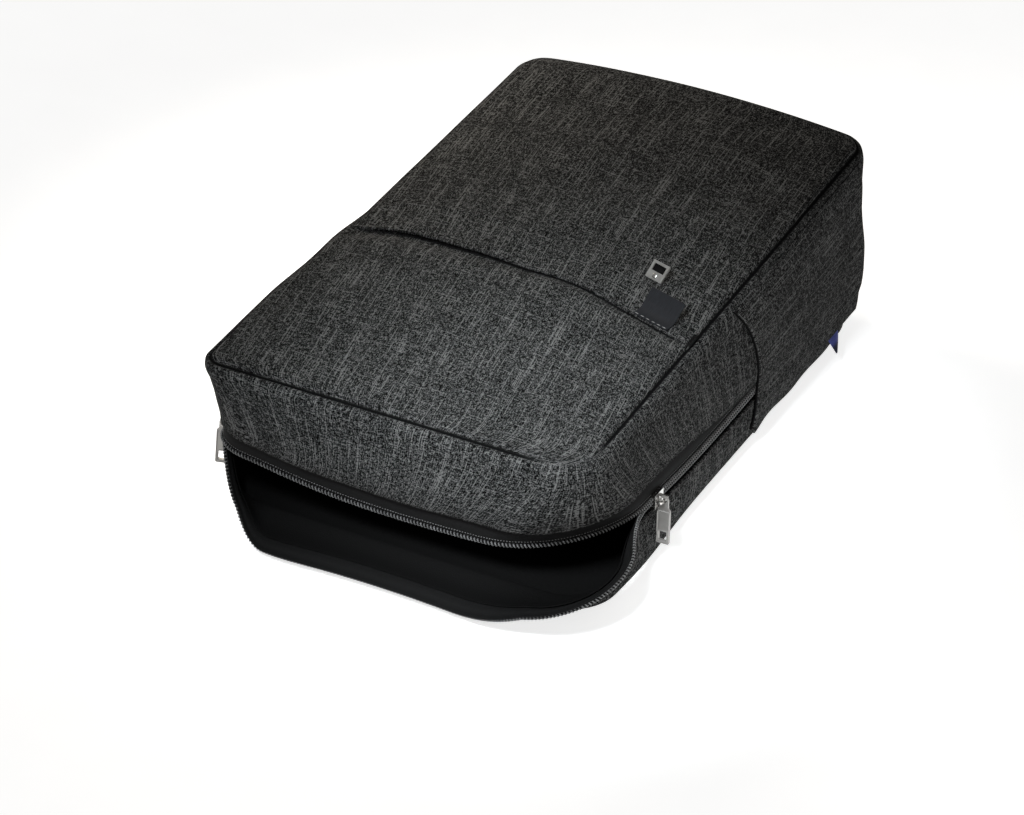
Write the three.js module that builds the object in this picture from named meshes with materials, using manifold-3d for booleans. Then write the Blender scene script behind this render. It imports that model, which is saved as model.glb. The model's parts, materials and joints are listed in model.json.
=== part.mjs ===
// A laptop backpack of flecked cloth, lying on its back, with its main zip open round the top end.
// Millimetres. X runs across the bag, Y from its top end to its bottom end, and Z up from the
// surface that it lies on. The cloth shell is described with Z counted from the back panel's underside.
import * as THREE from "three";
import { mergeVertices } from "three/addons/utils/BufferGeometryUtils.js";
import Module from "manifold-3d";

const { clamp, degToRad, lerp, smoothstep } = THREE.MathUtils;

// Shell
const LENGTH = 457; // front panel, top seam to bottom seam
const DEPTH_TOP = 119; // back panel's underside to the front seam, at the top end
const DEPTH_BOTTOM = 141; // and at the bottom end
const CLOTH = 2.4; // foam-backed cloth
const GAP = 0.4; // clearance between pieces that are sewn together
const LAYER_GAP = 1; // clearance between the layers of the zip's two lips
const END_BOW = 7; // rise of the bottom end's front seam at the middle line
const END_BOW_START = 250; // where that rise starts, from the top seam
const END_FLAT = 0.5; // share of the sides' bulge that is gone at the bottom end
const LEFT_FLARE = 9; // spread of the front panel's left edge at the top end
const FLARE_FULL = 100; // where that spread starts to fade, from the top seam
const FLARE_END = 180; // and where it is gone
const FLARE_SHARE = 0.75; // lowest level of the band round the top end that spreads with it
const BACK_THICK = 7; // padded back panel
const BACK_EDGE = 2; // rounding of its edges
const LINING = 1; // black lining cloth
const JOIN = 262; // where the bands round the top end meet the band round the bottom end

// Front panel
const CROWN = 5.5; // rise of the front panel's middle above its seams
const EDGE_ROLL = 4; // width over which a panel rolls down into its seam
const EDGE_DROP = 1.8; // depth of that roll
const SEAM_INSET = 2; // panel's edge inside the edge of the band round it
const MOUTH_MIDDLE = 176; // front pocket's mouth below the top seam, on the middle line
const MOUTH_SLANT = 8; // how far the mouth's two ends lie beyond and short of that
const MOUTH_DENT = 2.5; // valley along the mouth
const MOUTH_VALLEY = 16; // half width of that valley
const UNDERLAP = 12; // upper panel's reach under the pocket's hem
const UNDER_INSET = 10; // its side margin there
const DIP_RUN = 20; // length over which it dips to pass under that hem

// Side pockets
const POCKET_CLOTH = 1.8;
const POCKET_DEEPEST = 256; // the curved mouth's lowest point, from the top seam
const POCKET_DEEPEST_SHARE = 0.3; // its height, as a share of the depth
const POCKET_CURVE = 85; // bow of the mouth
const POCKET_END = 434;
const POCKET_LOW = 0.085;
const POCKET_HIGH = 0.945;

// Zip: shares are of the depth, from the back panel's underside to the front seam
const ZIP_SHARE = 0.315; // middle of the closed chain
const UPPER_HEM = 0.47; // edge of the cloth above the zip
const LOWER_HEM = 0.24; // edge of the cloth below it
const TAPE_UNDER = 0.03; // tape hidden behind each hem
const TAPE_EDGE = 0.006; // tape edge to the middle of the chain
const CHAIN_SPLIT = 0.0025; // middle of the chain to each half of it
const CHAIN_WIDE = 0.0205; // one half of the chain
const LINING_START = 0.012; // lip lining's lower edge above the back seam
const TAPE = 1;
const CHAIN_THICK = 2;
const SLIDER_RIGHT = 100; // sliders' places, from the top seam
const SLIDER_LEFT = 36;
const LIP_START = 12; // from a slider to where the lower lip starts to fall open
const LIP_FALLEN_LEFT = 75; // and to where it has fallen all the way
const LIP_FALLEN_RIGHT = 172;
const LIP_LEAN = 100; // degrees that the lower lip then leans outwards
const LIP_DRAW = 0.9; // share of its outward reach that is lost where it crumples at the left corner
const DRAW_REACH = 45; // reach of that crumple
// Where the upper lip is drawn up, each with its rise and reach
const LIFTS = [
  { x: -144.6, y: 3, rise: 13, reach: 70 },
  { x: 135, y: 50, rise: 8.5, reach: 75 },
];

// Slider and pull tab, with X away from the chain and Y along it
const SLIDER_LONG = 12;
const SLIDER_WIDE = 11;
const SLIDER_TOP = 2.4; // outer face of the slider's plate
const SLIDER_UNDER = 0.4; // inner face of that plate
const SLIDER_SKIRT = -1.8; // edge of its flanges
const SLIDER_FLANGE = 1.5;
const BAIL_HEIGHT = 6; // middle of the bail's bar
const BAIL_HALF = 4.6; // half of the bail's length
const BAIL_BEND = 1.6;
const BAIL_RADIUS = 1.2;
const PULL_THICK = 1.8;
const PULL_WIDE = 9.6;
const PULL_HEAD = 3.2; // half width of the eye end, which clears the slider's plate
const PULL_EYE = { half: 2.1, tall: 3.8, round: 0.8 };
const PULL_SHOULDER = -7.9; // where the tab has its full width, below the bail's bar
const PULL_TAPER = 2; // height of its sloping shoulders
const PULL_END = -34.5;
const PULL_ROUND = 1.5; // rounding of its lower corners
const PULL_WINDOW = { half: 3, top: -24.5, bottom: -32, round: 0.8 };
const LEFT_PULL_TURN = 22; // degrees that the left tab has twisted on its bail
const LEFT_PULL_LEAN = 5; // degrees that it stands away from the bag

// Trim on the front pocket and in the right back seam
const LABEL = { x: 100, y: 189, wide: 28.5, long: 34, turn: -5, thick: 0.8 };
const LOOP = {
  x: 83, y: 215.5, wide: 14, long: 13, turn: -15, tilt: 45, thick: 1.6, frame: 1.9, window: 5.2, round: 0.8,
};
const TAG = { x: 146, y: 391, z: 5, wide: 16, long: 13, thick: 1.4, droop: 52 };

// Straps under the back panel
const STRAP_THICK = 9;
const STRAP_EDGE = 2.5; // rounding of a strap's edges
const STRAP_BOW = 8; // outward bow of a strap's long edges
const STRAP_TOP = { x: 80, y: 20, half: 32 };
const STRAP_BOTTOM = { x: 90, y: 330, half: 24 };
const WEB_WIDE = 25;
const WEB_THICK = 1.8;
const WEB_END = { x: 118, y: 424 };
const ADJUSTER = { wide: 34, long: 26, thick: 5, rim: 4, round: 3, slotRound: 1 };
const HANDLE = { half: 44, y: 26, wide: 25, thick: 2, sag: 3.2, foot: 14 };

// The shell's sections: share of the depth, half width, top and bottom ends, and the plan radii of the
// left and right top corners and of both bottom corners.
const PROFILE = [
  { share: 0.063, half: 142.5, top: 8.0, bottom: 447, left: 32, right: 34, base: 25 },
  { share: 0.14, half: 144.0, top: 5.0, bottom: 455, left: 34, right: 40, base: 23 },
  { share: 0.24, half: 144.4, top: 4.0, bottom: 458, left: 38, right: 62, base: 22 },
  { share: 0.315, half: 144.6, top: 3.0, bottom: 459, left: 28, right: 80, base: 22 },
  { share: 0.4, half: 145.4, top: 0.5, bottom: 460, left: 32, right: 74, base: 23 },
  { share: 0.55, half: 146.0, top: -5.0, bottom: 461, left: 40, right: 62, base: 24 },
  { share: 0.7, half: 145.2, top: -6.0, bottom: 461, left: 34, right: 48, base: 25 },
  { share: 0.86, half: 143.2, top: -4.0, bottom: 460, left: 22, right: 34, base: 24 },
  { share: 0.955, half: 140.6, top: -1.0, bottom: 458, left: 15, right: 28, base: 22 },
  { share: 0.985, half: 138.0, top: 2.0, bottom: 455, left: 13, right: 25, base: 19 },
];
const SEAM_SHARE = PROFILE[0].share;
const FRONT_SHARE = PROFILE[PROFILE.length - 1].share;

// Columns on each stretch of the two band paths: side, corner, end, corner, side.
const TOP_SPANS = [10, 7, 7, 10, 7];
const BASE_SPANS = [7, 5, 6, 5, 7];

const flecked = { color: 0x2c2c2c, roughness: 0.95, metalness: 0 };
const lining = { color: 0x0d0d0e, roughness: 0.8, metalness: 0 };
const webbing = { color: 0x141414, roughness: 0.85, metalness: 0 };
const nylon = { color: 0x0f0f10, roughness: 0.5, metalness: 0 };
const nickel = { color: 0xb9b9bc, roughness: 0.3, metalness: 1 };
const satin = { color: 0x1c2027, roughness: 0.6, metalness: 0 };
const blue = { color: 0x1f4fa8, roughness: 0.7, metalness: 0 };

const wasm = await Module();
wasm.setup();

const v2 = (x, y) => new THREE.Vector2(x, y);
const v3 = (x, y, z) => new THREE.Vector3(x, y, z);
const steps = (count) => Array.from({ length: count + 1 }, (_, i) => i / count);
const total = (numbers) => numbers.reduce((sum, n) => sum + n, 0);

// Depth of the bag, from the back panel's underside to the front seam, at one place.
function depthAt(x, y) {
  const { half } = PROFILE[PROFILE.length - 1];
  const bow = END_BOW * (1 - (x / half) ** 2) * smoothstep(y, END_BOW_START, LENGTH);
  return lerp(DEPTH_TOP, DEPTH_BOTTOM, y / LENGTH) + bow;
}

// The shell's section at a share of the depth, between the rows of the table.
function section(share) {
  let row = 0;
  while (row < PROFILE.length - 2 && PROFILE[row + 1].share < share) {
    row += 1;
  }
  const low = PROFILE[row];
  const high = PROFILE[row + 1];
  const t = (share - low.share) / (high.share - low.share);
  const mixed = {};
  for (const column of Object.keys(low)) {
    mixed[column] = lerp(low[column], high[column], t);
  }
  return mixed;
}

// Plan path of the shell at one level, from the left side round the top end to the right side.
function topPath(share, corners) {
  const { half, top } = section(share);
  const { left, right } = corners;
  const path = new THREE.CurvePath();
  path.add(new THREE.LineCurve(v2(-half, JOIN), v2(-half, top + left)));
  path.add(new THREE.EllipseCurve(left - half, top + left, left, left, Math.PI, 1.5 * Math.PI));
  path.add(new THREE.LineCurve(v2(left - half, top), v2(half - right, top)));
  path.add(new THREE.EllipseCurve(half - right, top + right, right, right, 1.5 * Math.PI, 2 * Math.PI));
  path.add(new THREE.LineCurve(v2(half, top + right), v2(half, JOIN)));
  return path;
}

// Half width of the shell at one level, whose bulge flattens towards the bottom end.
function halfAt(share, y) {
  const { half, bottom, base } = section(share);
  const flat = END_FLAT * clamp((y - JOIN) / (bottom - base - JOIN), 0, 1);
  return lerp(half, section(FRONT_SHARE).half, flat);
}

// Plan path of the shell at one level, from the right side round the bottom end to the left side.
function basePath(share) {
  const { bottom, base } = section(share);
  const start = JOIN + GAP;
  const bend = bottom - base;
  const wide = halfAt(share, start);
  const half = halfAt(share, bend);
  const path = new THREE.CurvePath();
  path.add(new THREE.LineCurve(v2(wide, start), v2(half, bend)));
  path.add(new THREE.EllipseCurve(half - base, bend, base, base, 0, 0.5 * Math.PI));
  path.add(new THREE.LineCurve(v2(half - base, bottom), v2(base - half, bottom)));
  path.add(new THREE.EllipseCurve(base - half, bend, base, base, 0.5 * Math.PI, Math.PI));
  path.add(new THREE.LineCurve(v2(-half, bend), v2(-wide, start)));
  return path;
}

// Which stretch of a path a share u of its columns falls on, and how far along that stretch.
function stretchAt(spans, u) {
  let column = u * total(spans);
  let index = 0;
  while (index < spans.length - 1 && column > spans[index]) {
    column -= spans[index];
    index += 1;
  }
  return { index, along: column / spans[index] };
}

function pathPoint(path, spans, u) {
  const { index, along } = stretchAt(spans, u);
  return path.curves[index].getPoint(along);
}

// Rise of the zip at both top corners, fading to nothing at the front and back seams.
function cornerLift(x, y, share) {
  const rises = LIFTS.map((lift) => {
    const away = Math.hypot(x - lift.x, y - lift.y) / lift.reach;
    return lift.rise * Math.exp(-away * away);
  });
  const upper = (FRONT_SHARE - share) / (FRONT_SHARE - ZIP_SHARE);
  const lower = (share - SEAM_SHARE) / (LOWER_HEM - SEAM_SHARE);
  return total(rises) * clamp(Math.min(upper, lower), 0, 1);
}

// Outward spread of the left side at the top end, most at the front seam.
function leftFlare(x, y, share) {
  const { half } = section(FRONT_SHARE);
  const aside = smoothstep(-x, half / 2, half);
  const along = 1 - smoothstep(y, FLARE_FULL, FLARE_END);
  const level = clamp((share - FLARE_SHARE) / (FRONT_SHARE - FLARE_SHARE), 0, 1);
  return LEFT_FLARE * aside * along * level * level;
}

// The shell round the top end, with the zip closed.
function topFace(u, share, corners = section(share)) {
  const { x, y } = pathPoint(topPath(share, corners), TOP_SPANS, u);
  const z = share * depthAt(x, y) + cornerLift(x, y, share);
  return v3(x - leftFlare(x, y, share), y, z);
}

// The shell round the bottom end.
function baseFace(u, share) {
  const { x, y } = pathPoint(basePath(share), BASE_SPANS, u);
  return v3(x, y, share * depthAt(x, y));
}

// Angle that the lower lip has fallen outwards: none at the sliders, most round the top end.
function lipLean(u) {
  const path = topPath(ZIP_SHARE, section(SEAM_SHARE));
  const lengths = path.curves.map((curve) => curve.getLength());
  const { index, along } = stretchAt(TOP_SPANS, u);
  const distance = total(lengths.slice(0, index)) + lengths[index] * along;
  const fromLeft = distance - (JOIN - SLIDER_LEFT);
  const fromRight = total(lengths) - (JOIN - SLIDER_RIGHT) - distance;
  const left = smoothstep(fromLeft, LIP_START, LIP_FALLEN_LEFT);
  const right = smoothstep(fromRight, LIP_START, LIP_FALLEN_RIGHT);
  return degToRad(LIP_LEAN) * Math.min(left, right);
}

// The lower lip: a band with the back seam's corners, turned outwards about that seam by the lean, and
// crumpled at the left corner, where it can't spread.
function lipFace(u, share) {
  const small = 1e-3;
  const seam = topFace(u, SEAM_SHARE);
  const tangent = topFace(u + small, SEAM_SHARE).sub(topFace(u - small, SEAM_SHARE));
  const outward = v3(tangent.y, -tangent.x, 0).normalize();
  const axis = v3(0, 0, 1).cross(outward);
  const upright = topFace(u, share, section(SEAM_SHARE));
  const fall = upright.clone().sub(seam).applyAxisAngle(axis, lipLean(u)).add(seam).sub(upright);
  const { half, top } = section(SEAM_SHARE);
  const away = Math.hypot(seam.x + half, seam.y - top) / DRAW_REACH;
  const kept = 1 - LIP_DRAW * Math.exp(-away * away);
  return upright.add(fall.multiply(v3(kept, kept, 1)));
}

// Unit normal of a face, from its slopes along both parameters.
function faceNormal(face, u, v) {
  const small = 1e-3;
  const alongU = face(u + small, v).sub(face(u - small, v));
  const alongV = face(u, v + small).sub(face(u, v - small));
  return alongU.cross(alongV).normalize();
}

// A closed cloth wall: a grid of points on a face, sunk by inset, the same grid sunk further by the
// thickness, and a rim that joins the two.
function wall(face, columns, rows, thickness, inset = 0) {
  const outer = [];
  const inner = [];
  for (const v of rows) {
    for (const u of columns) {
      const normal = faceNormal(face, u, v);
      outer.push(face(u, v).addScaledVector(normal, -inset));
      inner.push(face(u, v).addScaledVector(normal, -inset - thickness));
    }
  }
  const count = outer.length;
  const across = columns.length;
  const index = [];
  const quad = (a, b, c, d) => index.push(a, b, c, a, c, d);
  for (let j = 0; j < rows.length - 1; j += 1) {
    for (let i = 0; i < across - 1; i += 1) {
      const a = j * across + i;
      quad(a, a + 1, a + across + 1, a + across);
      quad(count + a, count + a + across, count + a + across + 1, count + a + 1);
    }
  }
  const last = count - across;
  for (let i = 0; i < across - 1; i += 1) {
    quad(i + 1, i, count + i, count + i + 1);
    quad(last + i, last + i + 1, count + last + i + 1, count + last + i);
  }
  for (let j = 0; j < last; j += across) {
    const end = j + across - 1;
    quad(j, j + across, count + j + across, count + j);
    quad(end + across, end, count + end, count + end + across);
  }
  const geometry = new THREE.BufferGeometry().setFromPoints([...outer, ...inner]);
  geometry.setIndex(index);
  return geometry;
}

// A wall of the band round the top end, between two levels.
function topWall(face, levels, thickness, inset) {
  return wall(face, steps(total(TOP_SPANS)), levels, thickness, inset);
}

// The levels of the table between two shares, ends included.
function levelsBetween(low, high) {
  const inside = PROFILE.map((row) => row.share).filter((share) => share > low && share < high);
  return [low, ...inside, high];
}

// Half width of the front panel at y, on the side whose corner radius at the top end is given.
function panelReach(y, corner) {
  const { half, top, bottom, base } = section(FRONT_SHARE);
  const topRadius = corner - SEAM_INSET;
  const baseRadius = base - SEAM_INSET;
  const inTop = clamp((top + corner - y) / topRadius, 0, 1);
  const inBase = clamp((y - bottom + base) / baseRadius, 0, 1);
  const topCut = topRadius * (1 - Math.sqrt(1 - inTop * inTop));
  const baseCut = baseRadius * (1 - Math.sqrt(1 - inBase * inBase));
  return half - SEAM_INSET - topCut - baseCut;
}

// How far a panel has rolled down at a distance from its seam.
function edgeRoll(distance) {
  const t = 1 - clamp(distance / EDGE_ROLL, 0, 1);
  return EDGE_DROP * t * t;
}

function mouthAt(x) {
  return MOUTH_MIDDLE - (MOUTH_SLANT * x) / section(FRONT_SHARE).half;
}

// Height of the front panel: the tapering depth, the crown, the valley at the mouth and the rolled edges.
function frontHeight(x, y) {
  const { half, top, bottom, left, right } = section(FRONT_SHARE);
  const endwise = Math.abs((2 * y) / LENGTH - 1);
  const crown = CROWN * (1 - (x / half) ** 2) * (1 - endwise ** 3);
  const fromEdge = panelReach(y, x < 0 ? left : right) - Math.abs(x);
  const valley = Math.exp(-(((y - mouthAt(x)) / MOUTH_VALLEY) ** 2));
  const dent = MOUTH_DENT * valley * smoothstep(fromEdge, 0, UNDER_INSET);
  const side = edgeRoll(fromEdge);
  const end = edgeRoll(Math.min(y - top, bottom - y) - SEAM_INSET);
  return depthAt(x, y) + crown - dent - Math.max(side, end);
}

// A point of the front panel at a share across it, between its edges less a margin.
function acrossPanel(u, y, margin) {
  const { left, right } = section(FRONT_SHARE);
  return lerp(margin - panelReach(y, left), panelReach(y, right) - margin, u);
}

function mouthAcross(u) {
  return lerp(MOUTH_MIDDLE + MOUTH_SLANT, MOUTH_MIDDLE - MOUTH_SLANT, u);
}

// Upper front panel, from the top seam to its end under the pocket's hem.
function upperFace(u, v) {
  const mouth = mouthAcross(u);
  const start = section(FRONT_SHARE).top + SEAM_INSET;
  const y = lerp(start, mouth + UNDERLAP, v);
  const under = smoothstep(y, mouth - 1, mouth + 1);
  const x = acrossPanel(u, y, UNDER_INSET * under);
  const { left, right } = section(FRONT_SHARE);
  const fromEdge = panelReach(y, x < 0 ? left : right) - Math.abs(x);
  const inside = smoothstep(fromEdge, 0, UNDER_INSET);
  const dip = (CLOTH + 3 * GAP) * smoothstep(y, mouth - DIP_RUN, mouth - 1) * inside;
  return v3(x - leftFlare(x, y, FRONT_SHARE), y, frontHeight(x, y) - dip);
}

// Front pocket panel, from the hem at its mouth to the bottom seam.
function pocketFace(u, v) {
  const end = section(FRONT_SHARE).bottom - SEAM_INSET;
  const y = lerp(mouthAcross(u), end, v);
  const x = acrossPanel(u, y, 0);
  return v3(x, y, frontHeight(x, y));
}

// Side pocket: the side of the shell from a bowed mouth to the bottom corner. The left one is mirrored.
function sidePocketFace(sign) {
  return (u, share) => {
    const mouth = POCKET_DEEPEST - POCKET_CURVE * (share - POCKET_DEEPEST_SHARE) ** 2;
    const y = lerp(mouth, POCKET_END, sign > 0 ? u : 1 - u);
    const x = sign * halfAt(share, y);
    return v3(x, y, share * depthAt(x, y));
  };
}

// The label follows the pocket panel that it is sewn to.
function labelFace(u, v) {
  const across = (u - 0.5) * LABEL.wide;
  const along = (v - 0.5) * LABEL.long;
  const turned = v2(across, along).rotateAround(v2(0, 0), degToRad(LABEL.turn));
  const x = LABEL.x + turned.x;
  const y = LABEL.y + turned.y;
  return v3(x, y, frontHeight(x, y));
}

// A flat outline with round corners, between two corners, each with its own radius.
function roundedOutline(low, high, radii) {
  const [lowLeft, lowRight, highRight, highLeft] = radii;
  const shape = new THREE.Shape();
  shape.moveTo(low.x + lowLeft, low.y);
  shape.lineTo(high.x - lowRight, low.y);
  shape.absarc(high.x - lowRight, low.y + lowRight, lowRight, -0.5 * Math.PI, 0);
  shape.lineTo(high.x, high.y - highRight);
  shape.absarc(high.x - highRight, high.y - highRight, highRight, 0, 0.5 * Math.PI);
  shape.lineTo(low.x + highLeft, high.y);
  shape.absarc(low.x + highLeft, high.y - highLeft, highLeft, 0.5 * Math.PI, Math.PI);
  shape.lineTo(low.x, low.y + lowLeft);
  shape.absarc(low.x + lowLeft, low.y + lowLeft, lowLeft, Math.PI, 1.5 * Math.PI);
  return shape;
}

function roundedBox(halfX, halfY, radius) {
  return roundedOutline(v2(-halfX, -halfY), v2(halfX, halfY), Array(4).fill(radius));
}

// A flat plate of an outline, from z = 0 upwards, with its edges rounded off by edge.
function plate(shape, thickness, edge = 0, curveSegments = 6) {
  const geometry = new THREE.ExtrudeGeometry(shape, {
    depth: thickness - 2 * edge,
    bevelEnabled: edge > 0,
    bevelThickness: edge,
    bevelSize: edge,
    bevelOffset: -edge,
    bevelSegments: 2,
    curveSegments,
  });
  return geometry.translate(0, 0, edge);
}

// Plan outline of the inside of the shell at the back seam, drawn in by a margin.
function backOutline(margin) {
  const { half, top, bottom, left, right, base } = section(SEAM_SHARE);
  const low = v2(margin - half, top + margin);
  const high = v2(half - margin, bottom - margin);
  return roundedOutline(low, high, [left, right, base, base].map((radius) => radius - margin));
}

function toManifold(geometry) {
  const bare = geometry.clone();
  bare.deleteAttribute("normal");
  bare.deleteAttribute("uv");
  const merged = mergeVertices(bare, 1e-3);
  const vertProperties = new Float32Array(merged.attributes.position.array);
  const triVerts = new Uint32Array(merged.index.array);
  return new wasm.Manifold(new wasm.Mesh({ numProp: 3, vertProperties, triVerts }));
}

function fromManifold(solid) {
  const mesh = solid.getMesh();
  const geometry = new THREE.BufferGeometry();
  geometry.setAttribute("position", new THREE.BufferAttribute(new Float32Array(mesh.vertProperties), 3));
  geometry.setIndex(new THREE.BufferAttribute(new Uint32Array(mesh.triVerts), 1));
  return geometry;
}

// Slider: a plate with two flanges that straddles the chain, and a bail of bent wire on top of it.
function sliderGeometry() {
  const half = SLIDER_WIDE / 2;
  const inside = half - SLIDER_FLANGE;
  const channel = new THREE.Shape([
    v2(SLIDER_SKIRT, -half),
    v2(SLIDER_TOP, -half),
    v2(SLIDER_TOP, half),
    v2(SLIDER_SKIRT, half),
    v2(SLIDER_SKIRT, inside),
    v2(SLIDER_UNDER, inside),
    v2(SLIDER_UNDER, -inside),
    v2(SLIDER_SKIRT, -inside),
  ]);
  const body = plate(channel, SLIDER_LONG).translate(0, 0, -SLIDER_LONG / 2).rotateX(Math.PI / 2);
  const foot = SLIDER_TOP - BAIL_RADIUS;
  const bend = BAIL_HEIGHT - BAIL_BEND;
  const run = BAIL_HALF - BAIL_BEND;
  const wire = new THREE.CurvePath();
  wire.add(new THREE.LineCurve3(v3(foot, -BAIL_HALF, 0), v3(bend, -BAIL_HALF, 0)));
  wire.add(
    new THREE.QuadraticBezierCurve3(
      v3(bend, -BAIL_HALF, 0),
      v3(BAIL_HEIGHT, -BAIL_HALF, 0),
      v3(BAIL_HEIGHT, -run, 0),
    ),
  );
  wire.add(new THREE.LineCurve3(v3(BAIL_HEIGHT, -run, 0), v3(BAIL_HEIGHT, run, 0)));
  wire.add(
    new THREE.QuadraticBezierCurve3(
      v3(BAIL_HEIGHT, run, 0),
      v3(BAIL_HEIGHT, BAIL_HALF, 0),
      v3(bend, BAIL_HALF, 0),
    ),
  );
  wire.add(new THREE.LineCurve3(v3(bend, BAIL_HALF, 0), v3(foot, BAIL_HALF, 0)));
  const round = new THREE.Shape().absarc(0, 0, BAIL_RADIUS, 0, 2 * Math.PI);
  const bail = new THREE.ExtrudeGeometry(round, { extrudePath: wire, steps: 26, curveSegments: 4 });
  return fromManifold(toManifold(body).add(toManifold(bail)));
}

// Pull tab, hanging along -Z from the bail's bar at the origin, with its flat faces across the chain.
function pullGeometry() {
  const half = PULL_WIDE / 2;
  const head = PULL_HEAD;
  const bend = PULL_END + PULL_ROUND;
  const outline = new THREE.Shape();
  outline.moveTo(-half, bend);
  outline.quadraticCurveTo(-half, PULL_END, PULL_ROUND - half, PULL_END);
  outline.lineTo(half - PULL_ROUND, PULL_END);
  outline.quadraticCurveTo(half, PULL_END, half, bend);
  outline.lineTo(half, PULL_SHOULDER);
  outline.lineTo(head, PULL_SHOULDER + PULL_TAPER);
  outline.lineTo(head, 0);
  outline.absarc(0, 0, head, 0, Math.PI);
  outline.lineTo(-head, PULL_SHOULDER + PULL_TAPER);
  outline.lineTo(-half, PULL_SHOULDER);
  const { half: eye, tall, round } = PULL_EYE;
  outline.holes.push(roundedBox(eye, tall / 2, round));
  const window = PULL_WINDOW;
  const low = v2(-window.half, window.bottom);
  const high = v2(window.half, window.top);
  outline.holes.push(roundedOutline(low, high, Array(4).fill(window.round)));
  return plate(outline, PULL_THICK, 0, 4).translate(0, 0, -PULL_THICK / 2).rotateX(Math.PI / 2);
}

// Metal loop: a plate with a window in its far half, standing up on its near edge.
function loopGeometry() {
  const { wide, long, frame, window, thick, round } = LOOP;
  const outline = roundedBox(wide / 2, long / 2, round);
  const low = v2(frame - wide / 2, long / 2 - frame - window);
  const high = v2(wide / 2 - frame, long / 2 - frame);
  outline.holes.push(roundedOutline(low, high, Array(4).fill(round / 2)));
  return plate(outline, thick, 0, 3);
}

// Padded shoulder strap, tapering to its lower end. The left one is mirrored.
function strapGeometry(sign) {
  const { x, y, half } = STRAP_TOP;
  const end = STRAP_BOTTOM;
  const bow = (y + end.y) / 2;
  const shape = new THREE.Shape();
  shape.moveTo(sign * (x - half), y);
  shape.lineTo(sign * (x + half), y);
  shape.quadraticCurveTo(sign * (x + half + STRAP_BOW), bow, sign * (end.x + end.half), end.y);
  shape.lineTo(sign * (end.x - end.half), end.y);
  shape.quadraticCurveTo(sign * (x - half + STRAP_BOW), bow, sign * (x - half), y);
  return plate(shape, STRAP_THICK, STRAP_EDGE, 8);
}

// Ladder lock: a frame with two slots for the webbing.
function adjusterGeometry() {
  const { wide, long, thick, rim, round, slotRound } = ADJUSTER;
  const outline = roundedBox(wide / 2, long / 2, round);
  const slot = (long - 3 * rim) / 2;
  for (const side of [-1, 1]) {
    const middle = (side * (slot + rim)) / 2;
    const low = v2(rim - wide / 2, middle - slot / 2);
    const high = v2(wide / 2 - rim, middle + slot / 2);
    outline.holes.push(roundedOutline(low, high, Array(4).fill(slotRound)));
  }
  return plate(outline, thick, 0, 3);
}

// Flat webbing from below a strap's adjuster to the bottom corner.
function webGeometry(sign) {
  const half = WEB_WIDE / 2;
  const start = STRAP_BOTTOM.y + ADJUSTER.long + 3 * GAP;
  const from = STRAP_BOTTOM.x;
  return plate(
    new THREE.Shape([
      v2(sign * (from - half), start),
      v2(sign * (from + half), start),
      v2(sign * (WEB_END.x + half), WEB_END.y),
      v2(sign * (WEB_END.x - half), WEB_END.y),
    ]),
    WEB_THICK,
  );
}

// Grab handle: a flattened arch of webbing, its ends against the back panel and its middle hanging down.
function handleGeometry() {
  const { half, wide, thick, sag, foot } = HANDLE;
  const arch = new THREE.Shape();
  arch.moveTo(-half, 0);
  arch.lineTo(-half, -thick);
  arch.quadraticCurveTo(0, -thick - 2 * sag, half, -thick);
  arch.lineTo(half, 0);
  arch.lineTo(half - foot, -thick / 4);
  arch.quadraticCurveTo(0, -2 * sag, foot - half, -thick / 4);
  return plate(arch, wide, 0, 8).rotateX(Math.PI / 2);
}

const backpack = new THREE.Group();
const shell = new THREE.Group();
shell.position.z = STRAP_THICK + GAP;
backpack.add(shell);

function addPiece(parent, name, geometry, finish) {
  const mesh = new THREE.Mesh(geometry, new THREE.MeshStandardMaterial(finish));
  mesh.name = name;
  parent.add(mesh);
  return mesh;
}

// Front panel: grids that are finer at the rolled edges and at the pocket's mouth.
const acrossShares = [0, 0.01, 0.025, 0.055, 0.15, 0.27, 0.4];
const panelColumns = [...acrossShares, 0.5, ...acrossShares.map((u) => 1 - u).reverse()];
const upperRows = [0, 0.004, 0.015, 0.03, 0.06, 0.11, 0.17, 0.35, 0.55, 0.72, 0.82, 0.88, 0.925, 0.94, 1];
const pocketRows = [0, 0.015, 0.035, 0.07, 0.15, 0.3, 0.5, 0.7, 0.86, 0.93, 0.96, 0.978, 0.988, 0.996, 1];
addPiece(shell, "front_upper", wall(upperFace, panelColumns, upperRows, CLOTH), flecked);
addPiece(shell, "front_pocket", wall(pocketFace, panelColumns, pocketRows, CLOTH), flecked);

// Bands of the shell
const gussetLevels = levelsBetween(UPPER_HEM, FRONT_SHARE);
const baseLevels = levelsBetween(SEAM_SHARE, FRONT_SHARE);
const lipLevels = [...levelsBetween(SEAM_SHARE, LOWER_HEM - TAPE_UNDER), LOWER_HEM];
addPiece(shell, "top_gusset", topWall(topFace, gussetLevels, CLOTH), flecked);
addPiece(shell, "base_gusset", wall(baseFace, steps(total(BASE_SPANS)), baseLevels, CLOTH), flecked);
addPiece(shell, "lower_lip", topWall(lipFace, lipLevels, CLOTH), flecked);

for (const [side, sign] of [["left", -1], ["right", 1]]) {
  const outside = -GAP - POCKET_CLOTH;
  const levels = levelsBetween(POCKET_LOW, POCKET_HIGH);
  const pocket = wall(sidePocketFace(sign), steps(6), levels, POCKET_CLOTH, outside);
  addPiece(shell, `side_pocket_${side}`, pocket, flecked);
}

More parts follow.
